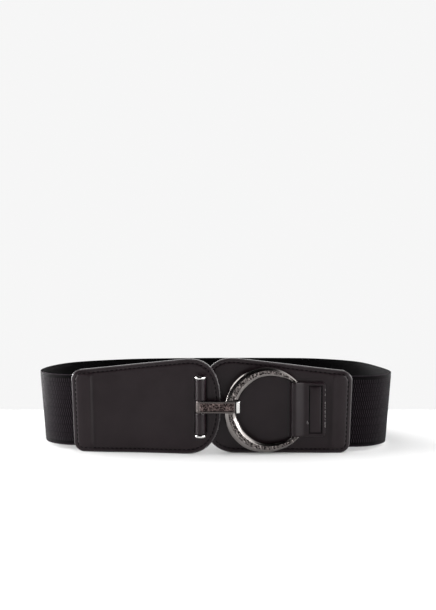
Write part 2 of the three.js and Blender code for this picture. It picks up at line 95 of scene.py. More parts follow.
def between(at: Points | float, marks: Points, line: Points) -> Points:
    """Returns a plane line's first and second coordinates at places on the scale of its marks."""
    return np.array([np.interp(at, marks, line[:, k]) for k in (0, 1)])


def unit(rows: Points) -> Points:
    """Returns each row at a length of one."""
    return rows / np.linalg.norm(rows, axis=1)[:, None]


def left_of(rows: Points) -> Points:
    """Returns each plane direction turned to its left."""
    return np.stack([-rows[:, 1], rows[:, 0]], axis=1)


@dataclass
class BeltPath:
    """Path of the belt in plan, from the left panel's inner tip round the back to the right panel's.

    The places are the solids' own: across as shares of half the loop's width, and back from the right
    panel as shares of its depth.
    """

    loop_width: float = 300.0
    loop_depth: float = 141.0
    side_lean: float = 0.074
    panel_overlap: float = 16.4
    panel_spread: float = 8.6
    overlap_across: float = -0.028
    panel_length: float = 125.5
    elastic_width: float = 60.6
    elastic_lift: float = 4.6
    settle_share: float = 0.32
    plan: Sequence[Pair] = (
        (-0.807, 0.06), (-0.945, 0.18), (-1.0, 0.345), (-0.958, 0.6), (-0.84, 0.79), (-0.55, 0.936),
        (-0.16, 0.988), (0.3, 0.997), (0.62, 0.965), (0.835, 0.83), (0.945, 0.57), (0.988, 0.265),
        (0.9, 0.09), (0.765, 0.008))
    steps: int = 3000
    knots: Points = field(init=False)
    stations: Points = field(init=False)
    places: Points = field(init=False)
    outs: Points = field(init=False)
    length: float = field(init=False)

    def __post_init__(self) -> None:
        """Walks the curve once and keeps its places and outward directions by length."""
        half = self.loop_width / 2
        middle = self.overlap_across * half
        left = np.array([middle + self.panel_overlap / 2, -self.panel_spread])
        right = np.array([middle - self.panel_overlap / 2, 0.0])
        rows = [np.array([across * half, back * self.loop_depth]) for across, back in self.plan]
        right_middle = np.array([(right[0] + rows[-1][0]) / 2, 0.0])
        self.knots = np.array([left, (left + rows[0]) / 2, *rows, right_middle, right])
        self.places = self._curve(np.linspace(0.0, 1.0, self.steps + 1))
        self.stations = walked(self.places)
        self.length = float(self.stations[-1])
        self.outs = left_of(unit(np.gradient(self.places, axis=0)))

    def _curve(self, shares: Points) -> Points:
        """Evaluates the centripetal Catmull-Rom curve through the knots.

        Args:
            shares: places along the curve from 0 to 1, even between knots.

        Returns:
            One plan point for each share.
        """
        before, after = 2 * self.knots[0] - self.knots[1], 2 * self.knots[-1] - self.knots[-2]
        knots = np.vstack([before, self.knots, after])
        spans = len(self.knots) - 1
        position = shares * spans
        span = np.minimum(position.astype(int), spans - 1)
        weight = (position - span)[:, None]
        p0, p1, p2, p3 = (knots[span + k] for k in range(4))
        d0, d1, d2 = (np.sqrt(np.linalg.norm(ahead - behind, axis=1))[:, None]
                      for behind, ahead in ((p0, p1), (p1, p2), (p2, p3)))
        t1 = ((p1 - p0) / d0 - (p2 - p0) / (d0 + d1) + (p2 - p1) / d1) * d1
        t2 = ((p2 - p1) / d1 - (p3 - p1) / (d1 + d2) + (p3 - p2) / d2) * d1
        square = -3 * p1 + 3 * p2 - 2 * t1 - t2
        cube = 2 * p1 - 2 * p2 + t1 + t2
        return p1 + weight * (t1 + weight * (square + weight * cube))

    def place(self, distances: Points, outwards: Points, heights: Points) -> Points:
        """Finds points on the belt.

        Args:
            distances: lengths along the path.
            outwards: how far each point lies outside the path.
            heights: heights above the floor.

        Returns:
            Points in plan-frame millimetres, one row each.
        """
        x, y = between(distances, self.stations, self.places)
        nx, ny = between(distances, self.stations, self.outs)
        reach = outwards + self.side_lean * nx ** 2 * (heights - self.elastic_width / 2)
        return np.stack([x + nx * reach, y + ny * reach, heights], axis=1)

    def foot(self, distances: Points) -> Points:
        """Returns the height of the elastic's lower edge: up in the pockets, on the floor at the back."""
        free = np.minimum(distances, self.length - distances) - self.panel_length
        settled = np.clip(free / (self.settle_share * (self.length - 2 * self.panel_length)), 0.0, 1.0)
        return self.elastic_lift * (1.0 - settled) ** 2

    def seat(self, distance: float, outwards: float, height: float) -> Matrix:
        """Makes a frame on the belt: X to the right, Y to the inside of the loop, Z up."""
        place = self.place(*(np.array([value]) for value in (distance, outwards, height)))[0]
        nx, ny = between(distance, self.stations, self.outs)
        return Matrix.Translation(Vector(place)) @ Matrix.Rotation(math.atan2(nx, -ny), 4, "Z")


def added(name: str, data: bpy.types.ID) -> Object:
    """Adds an object with its data to the scene."""
    obj = bpy.data.objects.new(name, data)
    bpy.context.scene.collection.objects.link(obj)
    return obj


def meshed(name: str, bm: Mesh, origin: Vector, finishes: Sequence[Material]) -> Object:
    """Writes a bmesh in plan-frame millimetres to an object in metres, and frees it.

    Args:
        name: the object's name.
        bm: its mesh.
        origin: the plan frame's origin, in metres.
        finishes: its materials, in the order of the faces' indices.

    Returns:
        The new object.
    """
    bmesh.ops.scale(bm, vec=(MM, MM, MM), verts=bm.verts)
    bmesh.ops.translate(bm, vec=origin, verts=bm.verts)
    mesh = bpy.data.meshes.new(name)
    bm.to_mesh(mesh)
    bm.free()
    for finish in finishes:
        mesh.materials.append(finish)
    return added(name, mesh)


@dataclass
class Workshop:
    """Turns finished bmeshes into the belt's pieces, in metres and in the row's frame."""

    path: BeltPath
    elastic_thickness: float = 1.5
    samples: int = 2000
    origin: Vector = field(init=False)

    def __post_init__(self) -> None:
        """Finds the plan frame's origin from the solid of the elastic."""
        low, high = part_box("elastic_band")
        path = self.path
        distances = np.linspace(path.panel_length, path.length - path.panel_length, self.samples)
        outer_face = np.full(self.samples, self.elastic_thickness / 2)
        tops = path.place(distances, outer_face, path.foot(distances) + path.elastic_width)
        middle_x = (tops[:, 0].min() + tops[:, 0].max()) / 2 * MM
        self.origin = Vector(((low.x + high.x) / 2 - middle_x, high.y - tops[:, 1].max() * MM, low.z))

    def piece(self, name: str, bm: Mesh, finishes: Sequence[Material], slot: Slot,
              replaced: Sequence[str] = (), seat: Optional[Matrix] = None) -> Object:
        """Writes a bmesh in millimetres to a piece that rides on the belt.

        Args:
            name: the piece's name.
            bm: its mesh, freed here.
            finishes: its materials, in the order of the faces' indices.
            slot: the record's slot; not used.
            replaced: solids that it stands for.
            seat: frame in which the mesh was modelled, or none for the plan frame.

        Returns:
            The new object.
        """
        if seat is not None:
            bmesh.ops.transform(bm, matrix=seat, verts=bm.verts)
        for face in bm.faces:
            face.smooth = True
        obj = meshed(name, bm, self.origin, finishes)
        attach(obj, BODY)
        if replaced:
            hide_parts(*replaced)
        LOG.info("%s: %d faces", name, len(obj.data.polygons))
        return obj


def coordinates(bm: Mesh) -> Points:
    """Returns the vertices' places, one row each."""
    return np.array([vert.co[:] for vert in bm.verts])


def move(bm: Mesh, places: Points) -> None:
    """Puts each vertex at its row's place."""
    for vert, place in zip(bm.verts, places):
        vert.co = place


def sheet_grid(columns: int, rows: int) -> Mesh:
    """Makes a flat grid whose vertices lie at whole numbers from zero in X and Y.

    Args:
        columns: faces along X.
        rows: faces along Y.

    Returns:
        The new bmesh.
    """
    bm = bmesh.new()
    scale = Matrix.Diagonal((columns / 2, rows / 2, 1.0, 1.0))
    bmesh.ops.create_grid(bm, x_segments=columns, y_segments=rows, size=1.0,
                          matrix=scale @ Matrix.Translation((1.0, 1.0, 0.0)))
    return bm


def grid_places(bm: Mesh) -> tuple[Points, Points]:
    """Returns each vertex's column and row as whole numbers."""
    places = coordinates(bm).round().astype(int)
    return places[:, 0], places[:, 1]


def merged(bm: Mesh, other: Mesh) -> Mesh:
    """Adds another bmesh to the first, frees it and returns the first."""
    spare = bpy.data.meshes.new("layer")
    other.to_mesh(spare)
    other.free()
    bm.from_mesh(spare)
    bpy.data.meshes.remove(spare)
    return bm


def join_layers(front: Mesh, back: Mesh, rim_material: int) -> Mesh:
    """Joins two open sheets with as many edges round them into one closed wall.

    Args:
        front: sheet of the outer face.
        back: sheet of the inner face, freed here.
        rim_material: material index of the faces between them.

    Returns:
        The front bmesh with both faces and the rim.
    """
    merged(front, back)
    rim = [edge for edge in front.edges if edge.is_boundary]
    for face in bmesh.ops.bridge_loops(front, edges=rim)["faces"]:
        face.material_index = rim_material
    for edge in rim:
        edge.smooth = False
    bmesh.ops.recalc_face_normals(front, faces=front.faces)
    return front


@dataclass(frozen=True)
class EdgeRound:
    """Soft corner of a leather or metal wall where its face meets its edge."""

    radius: float
    drop: float

    def lowered(self, depths: Points) -> Points:
        """Returns how far the face falls at each depth from the edge."""
        share = np.clip(1.0 - depths / self.radius, 0.0, 1.0)
        return self.drop * (1.0 - np.sqrt(1.0 - share ** 2))


@dataclass
class PanelOutline:
    """Outline of a leather panel as inset from its inner tip and height."""

    length: float = 125.5
    outer_height: float = 69.0
    shoulder_height: float = 79.8
    corner_radius: float = 8.5
    round_end: float = 32.0
    round_power: float = 2.5
    samples: int = 900
    density: int = 8
    tangent_reach: int = 6
    inner_corners: Sequence[Pair] = ((6.5, 66.0), (6.5, 15.0))
    sides: list[Points] = field(init=False)
    normals: list[Points] = field(init=False)
    lengths: list[float] = field(init=False)

    def __post_init__(self) -> None:
        """Walks the outline and splits it into outer end, top, inner end and bottom."""
        angles = np.linspace(0.0, math.pi / 2, self.samples)
        inner = self.round_end * (1.0 - np.cos(angles) ** (2 / self.round_power))
        plain = np.linspace(self.round_end, self.length - self.corner_radius, self.samples)[1:]
        corner = self.length - self.corner_radius + self.corner_radius * np.sin(angles[1:])
        insets = np.concatenate([inner, plain, corner])
        low, high = self.edges(insets)
        bottom = np.stack([insets, low], axis=1)
        top = np.stack([insets, high], axis=1)[::-1]
        end = np.linspace(bottom[-1], top[0], self.samples)[1:-1]
        loop = np.vstack([bottom, end, top[:-1]])
        closed = np.vstack([loop, loop[:1]])
        marks = walked(closed)
        total = marks[-1]
        even = np.linspace(0.0, total, self.density * self.samples, endpoint=False)
        ring = between(even, marks, closed).T
        ahead, behind = (np.roll(ring, shift, axis=0) for shift in (-self.tangent_reach, self.tangent_reach))
        inward = left_of(unit(ahead - behind))
        corners = ((self.length, 0.0), (self.length, self.outer_height), *self.inner_corners)
        starts = [int(np.argmin(np.linalg.norm(ring - np.array(corner), axis=1))) for corner in corners]
        self.sides, self.normals, self.lengths = [], [], []
        for start, stop in zip(starts, starts[1:] + starts[:1]):
            count = (stop - start) % len(ring)
            picks = (start + np.arange(count + 1)) % len(ring)
            self.sides.append(ring[picks])
            self.normals.append(inward[picks])
            self.lengths.append(count * total / len(ring))

    def edges(self, insets: Points) -> tuple[Points, Points]:
        """Returns the lowest and highest point of the panel at each inset."""
        slope = (self.outer_height - self.shoulder_height) / (self.length - self.round_end)
        top = self.shoulder_height + slope * (insets - self.round_end)
        reach = np.clip(1.0 - insets / self.round_end, 0.0, 1.0)
        fill = (1.0 - reach ** self.round_power) ** (1 / self.round_power)
        past = np.clip(insets - (self.length - self.corner_radius), 0.0, self.corner_radius)
        drop = self.corner_radius - np.sqrt(self.corner_radius ** 2 - past ** 2)
        return top * (1.0 - fill) / 2 + drop, top * (1.0 + fill) / 2 - drop

    def at(self, side: int, shares: Points, depths: Points) -> Points:
        """Finds points along one side at a depth inside the outline.

        Args:
            side: 0 outer end, 1 top, 2 inner end, 3 bottom.
            shares: places along the side from 0 to 1.
            depths: distances inwards from the outline.

        Returns:
            Inset and height, one row for each share.
        """
        points, inward = self.sides[side], self.normals[side]
        picks, index = shares * (len(points) - 1), np.arange(len(points))
        return (between(picks, index, points) + between(picks, index, inward) * depths).T


def wrapped(columns: int, section: int, shape: Callable[[Points, Points], Points],
            finish: Optional[Callable[[float, float], int]] = None,
            relief: Optional[Callable[[Points, Points], Points]] = None) -> Mesh:
    """Makes a closed bar: a grid wrapped round into a sleeve, with its ends filled.

    Args:
        columns: faces along the bar.
        section: faces round it.
        shape: gives the places of vertices from their numbers along and round the bar.
        finish: gives a face's material index from its middle's numbers along and round.
        relief: gives the value that each vertex keeps for the material, from the same numbers as shape.

    Returns:
        The closed bmesh.
    """
    bm = sheet_grid(columns, section)
    if finish is not None:
        for face in bm.faces:
            middle = face.calc_center_median()
            face.material_index = finish(middle.x, middle.y)
    along, around = grid_places(bm)
    around %= section
    if relief is not None:
        layer = bm.verts.layers.float.new(RELIEF)
        for vert, value in zip(bm.verts, relief(along, around)):
            vert[layer] = value
    move(bm, shape(along, around))
    bmesh.ops.remove_doubles(bm, verts=bm.verts, dist=WELD)
    bmesh.ops.holes_fill(bm, edges=[edge for edge in bm.edges if edge.is_boundary], sides=0)
    bmesh.ops.recalc_face_normals(bm, faces=bm.faces)
    return bm


@dataclass(frozen=True)
class Thread:
    """Thread that shows as separate stitches, each a small closed capsule."""

    length: float
    width: float
    rise: float = 0.4
    segments: int = 8
    rings: int = 6

    def sewn(self, places: Sequence[tuple[Vector, Vector, Vector]], bm: Optional[Mesh] = None) -> Mesh:
        """Makes a row of stitches.

        Args:
            places: middle, direction along the seam and direction out of the leather of each stitch.
            bm: mesh that they are added to, or none for a new one.

        Returns:
            The bmesh with the stitches.
        """
        bm = bm or bmesh.new()
        size = Matrix.Diagonal((self.length / 2, self.width / 2, self.width * self.rise, 1.0))
        for middle, along, out in places:
            along = along.normalized()
            side = out.cross(along).normalized()
            turn = Matrix((along, side, side.cross(along) * -1.0)).transposed().to_4x4()
            bmesh.ops.create_uvsphere(bm, u_segments=self.segments, v_segments=self.rings, radius=1.0,
                                      matrix=Matrix.Translation(middle) @ turn @ size)
        bmesh.ops.recalc_face_normals(bm, faces=bm.faces)
        return bm


def graded(low: float, high: float, steps: Points, fine: int) -> Points:
    """Returns rows from low to high that stand closer together at both ends.

    Args:
        low: first row.
        high: last row.
        steps: distances of the close rows from each end.
        fine: number of even spans between the close rows.

    Returns:
        The rows in rising order.
    """
    middle = np.linspace(low + steps[-1], high - steps[-1], fine + 1)[1:-1]
    return np.concatenate([low + steps, middle, (high - steps)[::-1]])


def dents(across: Points, up: Points, layer: float) -> Points:
    """Returns soft bumps from -1 to 1 at places in one layer of a noise."""
    return np.array([noise.noise(Vector((x, y, layer))) for x, y in zip(across, up)])


@dataclass
class FoldPath:
    """Curve in plan that a folded strip follows, built from straight runs and bends."""

    step: float
    least_arc: int = 6
    bend_points: int = 14
    points: list[Pair] = field(default_factory=list)

    def line(self, start: Pair, end: Pair) -> "FoldPath":
        """Adds a straight run between two points."""
        count = max(2, int(math.dist(start, end) / self.step))
        first, last = np.array(start), np.array(end)
        self.points += [tuple(first + (last - first) * k / count) for k in range(count + 1)]
        return self

    def arc(self, centre: Pair, radius: float, start: float, end: float) -> "FoldPath":
        """Adds a bend round a centre between two angles in degrees."""
        count = max(self.least_arc, int(abs(math.radians(end - start)) * radius / self.step))
        for k in range(count + 1):
            angle = math.radians(start + (end - start) * k / count)
            self.points.append((centre[0] + radius * math.cos(angle), centre[1] + radius * math.sin(angle)))
        return self

    def curve(self, start: Pair, pull: Pair, leave: Pair,
              end: Pair) -> "FoldPath":
        """Adds a Bezier bend from start to end with its two handles."""
        corners = [np.array(point) for point in (start, pull, leave, end)]
        for share in np.linspace(0.0, 1.0, self.bend_points):
            rest = 1 - share
            weights = (rest ** 3, 3 * share * rest ** 2, 3 * share ** 2 * rest, share ** 3)
            self.points.append(tuple(sum(weight * corner for weight, corner in zip(weights, corners))))
        return self

    def sampled(self) -> tuple[Points, Points, Points]:
        """Returns lengths, places and left-hand normals along the curve, without repeated points."""
        raw = np.array(self.points)
        raw = raw[np.concatenate([[True], np.diff(walked(raw)) > WELD])]
        lengths = walked(raw)
        return lengths, raw, left_of(unit(np.gradient(raw, lengths, axis=0)))


@dataclass
class Strip:
    """Strip of leather or metal that stands on edge and follows a folded path.

    The path is its outer face, and its thickness lies to the left of it.
    """

    path: FoldPath
    thickness: float
    low: float
    high: float
    round_edge: EdgeRound
    rows: int
    corner_radius: float = 0.0
    edge_steps: Sequence[float] = (0.0, 0.12, 0.4, 1.0)
    edge_room: float = 1.2
    relief: Optional[Callable[[Points, Points], Points]] = None
    finish: Optional[Callable[[float, float], int]] = None

    def build(self) -> Mesh:
        """Makes the strip as one closed wall in its own frame."""
        lengths, places, lefts = self.path.sampled()
        total = lengths[-1]
        near = np.array(self.edge_steps) * self.round_edge.radius
        room = near[-1] * self.edge_room
        inner = lengths[(lengths > room) & (lengths < total - room)]
        stations = np.concatenate([near, inner, total - near[::-1]])
        heights = graded(self.low, self.high, near, self.rows)
        section = np.concatenate([heights, heights[::-1]])
        faces = np.concatenate([np.ones(len(heights)), -np.ones(len(heights))])
        middle = (self.low + self.high) / 2
        half = (self.high - self.low) / 2

        def finish_at(column: float, row: float) -> int:
            """Asks for the finish of a face of the outer side."""
            if self.finish is None or row > len(heights) - 1:
                return 0
            return self.finish(float(np.interp(column, np.arange(len(stations)), stations)),
                               float(np.interp(row, np.arange(len(heights)), heights)))

        def shape(columns: Points, rows: Points) -> Points:
            """Places the strip's vertices, with its corners and edges rounded."""
            distance, height, face = stations[columns], section[rows], faces[rows]
            ends = np.minimum(distance, total - distance)
            past = np.clip(self.corner_radius - ends, 0.0, self.corner_radius)
            drop = self.corner_radius - np.sqrt(np.maximum(self.corner_radius ** 2 - past ** 2, 0.0))
            height = middle + (height - middle) * (half - drop) / half
            x, y = between(distance, lengths, places)
            nx, ny = between(distance, lengths, lefts)
            depth = np.minimum(half - drop - np.abs(height - middle), ends)
            lowered = self.round_edge.lowered(np.maximum(depth, 0.0))
            inwards = np.where(face > 0, lowered, self.thickness - lowered)
            if self.relief is not None:
                inwards = inwards + np.where(face > 0, self.relief(distance, height), 0.0)
            return np.stack([x + nx * inwards, y + ny * inwards, height], axis=1)

        return wrapped(len(stations) - 1, len(section), shape, finish_at)


def link(tree: Tree, kind: str, inputs: Optional[dict[str | int, object]] = None,
         **settings: object) -> Node:
    """Adds a node and fills its sockets.

    Args:
        tree: the material's or world's node tree.
        kind: type name of the node.
        inputs: values or other nodes' sockets by socket name or number.
        settings: the node's own settings.

    Returns:
        The new node.
    """
    made = tree.nodes.new(kind)
    for key, value in settings.items():
        setattr(made, key, value)
    for key, value in (inputs or {}).items():
        if isinstance(value, Socket):
            tree.links.new(value, made.inputs[key])
        else:
            made.inputs[key].default_value = value
    return made


def maths(tree: Tree, operation: str, *values: object) -> Socket:
    """Adds a maths node over values or sockets and returns its result."""
    return link(tree, "ShaderNodeMath", dict(enumerate(values)), operation=operation).outputs[0]


def ranged(tree: Tree, value: Socket, given: Pair, wanted: Pair) -> Socket:
    """Maps a value from the given range to the wanted one, held at its ends, and returns it."""
    return link(tree, "ShaderNodeMapRange", {
        "Value": value, "From Min": given[0], "From Max": given[1],
        "To Min": wanted[0], "To Max": wanted[1]}).outputs[0]


def ramp(tree: Tree, factor: Socket,
         stops: Sequence[tuple[float, Triple]]) -> Socket:
    """Adds a colour ramp over a factor and returns its colour socket."""
    made = link(tree, "ShaderNodeValToRGB", {"Fac": factor})
    band = made.color_ramp
    band.elements[0].position, band.elements[-1].position = stops[0][0], stops[-1][0]
    for place, _ in stops[1:-1]:
        band.elements.new(place)
    for element, (_, colour) in zip(band.elements, stops):
        element.color = (*colour, 1.0)
    return made.outputs["Color"]


@dataclass(frozen=True)
class Surface:
    """Base of the finishes: a material with a Principled shader."""

    name: str
    roughness: float

    def start(self, metallic: float = 0.0, specular: float = 0.5) -> tuple[Material, Tree, Node]:
        """Makes the material and returns it with its tree and shader."""
        material = bpy.data.materials.new(self.name)
        material.use_nodes = True
        tree = material.node_tree
        shader = tree.nodes["Principled BSDF"]
        shader.inputs["Metallic"].default_value = metallic
        shader.inputs["Roughness"].default_value = self.roughness
        shader.inputs["Specular IOR Level"].default_value = specular
        return material, tree, shader

    def place(self, tree: Tree) -> Socket:
        """Adds the place on the object, in its own metres."""
        return link(tree, "ShaderNodeTexCoord").outputs["Object"]

    def noise(self, tree: Tree, scale: float, detail: float = 3.0) -> Socket:
        """Adds a noise over the object and returns its factor."""
        return link(tree, "ShaderNodeTexNoise", {
            "Vector": self.place(tree), "Scale": scale, "Detail": detail,
            "Roughness": NOISE_ROUGHNESS}).outputs["Fac"]

    def gloss(self, tree: Tree, shader: Node, scale: float, rough: Pair) -> None:
        """Lets the roughness wander between two values."""
        wander = ranged(tree, self.noise(tree, scale), (0.0, 1.0), rough)
        tree.links.new(wander, shader.inputs["Roughness"])

    def bump(self, tree: Tree, shader: Node, height: Socket, distance: float, strength: float) -> None:
        """Raises the surface by a height, with the distance in metres."""
        made = link(tree, "ShaderNodeBump", {"Height": height, "Distance": distance, "Strength": strength})
        tree.links.new(made.outputs["Normal"], shader.inputs["Normal"])


@dataclass(frozen=True)
class LeatherFinish(Surface):
    """Smooth coated leather with a very fine grain."""

    dark: Triple
    light: Triple
    grain: float = 0.00006
    specular: float = 0.35
    cloud_range: Pair = (0.3, 0.7)
    cloud_scale: float = 55.0
    grain_scale: float = 1500.0
    fine_scale: float = 700.0
    grain_strength: float = 0.5
    gloss_scale: float = 160.0
    gloss_spread: Pair = (-0.05, 0.07)

    def material(self) -> Material:
        """Builds the leather."""
        material, tree, shader = self.start(specular=self.specular)
        stops = tuple(zip(self.cloud_range, (self.dark, self.light)))
        tone = ramp(tree, self.noise(tree, self.cloud_scale, 4.0), stops)
        tree.links.new(tone, shader.inputs["Base Color"])
        cells = link(tree, "ShaderNodeTexVoronoi", {"Vector": self.place(tree), "Scale": self.grain_scale},
                     feature="DISTANCE_TO_EDGE")
        height = maths(tree, "ADD", cells.outputs["Distance"], self.noise(tree, self.fine_scale))
        self.bump(tree, shader, height, self.grain, self.grain_strength)
        low, high = (self.roughness + spread for spread in self.gloss_spread)
        self.gloss(tree, shader, self.gloss_scale, (low, high))
        return material


@dataclass(frozen=True)
class ElasticFinish(Surface):
    """Woven elastic: ribs of fine threads, with painted shade near black in the gaps between them."""

    gap_shade: Triple
    rib: Triple
    specular: float = 0.04
    fuzz_scale: float = 900.0
    fuzz_share: float = 0.35
    fuzz_middle: float = 0.17
    rib_range: Pair = (0.67, 1.0)
    thread_scale: float = 560.0
    thread_bend: float = 1.5
    thread_rise: float = 0.00012
    thread_strength: float = 0.6

    def material(self) -> Material:
        """Builds the webbing, painting shade into the gaps from the ribs' own relief."""
        material, tree, shader = self.start(specular=self.specular)
        relief = link(tree, "ShaderNodeAttribute", attribute_name=RELIEF).outputs["Fac"]
        fuzz = self.noise(tree, self.fuzz_scale, 4.0)
        mixed = maths(tree, "MULTIPLY_ADD", fuzz, self.fuzz_share, relief)
        shifted = maths(tree, "SUBTRACT", mixed, self.fuzz_middle)
        # Low relief, in the gaps and on the loop's inner face, takes the near black colour as painted shade
        tone = ramp(tree, shifted, tuple(zip(self.rib_range, (self.gap_shade, self.rib))))
        tree.links.new(tone, shader.inputs["Base Color"])
        threads = link(tree, "ShaderNodeTexWave", {
            "Vector": self.place(tree), "Scale": self.thread_scale, "Distortion": self.thread_bend,
            "Detail": 1.0, "Detail Scale": 2.0}, bands_direction="Z")
        height = maths(tree, "ADD", threads.outputs["Fac"], fuzz)
        self.bump(tree, shader, height, self.thread_rise, self.thread_strength)
        return material


@dataclass(frozen=True)
class MetalFinish(Surface):
    """Plated metal, with faint wear in its colour and gloss."""

    colour: Triple
    wear: float = 0.86
    wear_range: Pair = (0.35, 0.65)
    wear_scale: float = 130.0
    gloss_scale: float = 420.0
    gloss_shares: Pair = (0.8, 1.25)

    def material(self) -> Material:
        """Builds the metal."""
        material, tree, shader = self.start(metallic=1.0)
        worn = tuple(channel * self.wear for channel in self.colour)
        tone = ramp(tree, self.noise(tree, self.wear_scale), tuple(zip(self.wear_range, (worn, self.colour))))
        tree.links.new(tone, shader.inputs["Base Color"])
        low, high = (self.roughness * share for share in self.gloss_shares)
        self.gloss(tree, shader, self.gloss_scale, (low, high))
        return material


@dataclass(frozen=True)
class HammeredFinish(Surface):
    """Hammered metal with painted shade in its pits and a painted highlight on its high points."""

    pit_shade: Triple
    face: Triple
    dent_scale: float = 610.0
    fine_scale: float = 1100.0
    fine_share: float = 0.2
    stops: Triple = (0.42, 0.56, 0.95)
    glint_gain: float = 2.4
    rise: float = 0.0006
    strength: float = 0.8

    def material(self) -> Material:
        """Builds the metal from small dents and pits, with shade and highlight painted by their height."""
        material, tree, shader = self.start(metallic=1.0)
        dents = link(tree, "ShaderNodeTexVoronoi", {
            "Vector": self.place(tree), "Scale": self.dent_scale, "Randomness": 1.0})
        mixed = maths(tree, "MULTIPLY_ADD", self.noise(tree, self.fine_scale, 2.0), self.fine_share,
                      dents.outputs["Distance"])
        # The high points are painted lighter as a painted glint, the pits darker as painted shade
        painted_glint = tuple(min(1.0, channel * self.glint_gain) for channel in self.face)
        tone = ramp(tree, mixed, tuple(zip(self.stops, (self.pit_shade, self.face, painted_glint))))
        tree.links.new(tone, shader.inputs["Base Color"])
        self.bump(tree, shader, mixed, self.rise, self.strength)
        return material


@dataclass
class Finishes:
    """All the belt's finishes, each built once."""

    leather: Material = field(default_factory=LeatherFinish(
        "leather", 0.33, (0.0070, 0.0036, 0.0048), (0.0096, 0.0056, 0.0070), specular=0.19).material)
    edge: Material = field(default_factory=LeatherFinish(
        "leather_edge", 0.3, (0.018, 0.014, 0.015), (0.026, 0.021, 0.023), 0.00003, 0.5).material)
    # Light grey cut edges between the layers: partly the edge paint, partly a painted highlight for the light
    # that the tops of the edges catch
    rim: Material = field(default_factory=LeatherFinish(
        "rim_paint_and_painted_highlight", 0.25, (0.10, 0.092, 0.094), (0.14, 0.13, 0.132), 0.00002, 0.8).material)
    thread: Material = field(default_factory=LeatherFinish(
        "thread", 0.8, (0.0012, 0.001, 0.0012), (0.004, 0.0035, 0.004), 0.0001, 0.08).material)
    fibre: Material = field(default_factory=LeatherFinish(
        "fibre", 0.7, (0.16, 0.15, 0.15), (0.34, 0.32, 0.32)).material)
    elastic: Material = field(default_factory=ElasticFinish(
        "elastic", 0.8, (0.0004, 0.0003, 0.0005), (0.020, 0.0145, 0.0185)).material)
    gunmetal: Material = field(default_factory=MetalFinish(
        "gunmetal", 0.2, (0.205, 0.19, 0.183)).material)
    border: Material = field(default_factory=MetalFinish(
        "dark_gunmetal", 0.3, (0.095, 0.083, 0.08)).material)
    hammered: Material = field(default_factory=HammeredFinish(
        "hammered_gunmetal", 0.28, (0.007, 0.006, 0.006), (0.060, 0.053, 0.051)).material)
    inset: Material = field(default_factory=HammeredFinish(
        "hammered_inset", 0.38, (0.010, 0.007, 0.007), (0.055, 0.041, 0.039)).material)
    polished: Material = field(default_factory=MetalFinish(
        "polished_metal", 0.12, (0.6, 0.59, 0.58)).material)


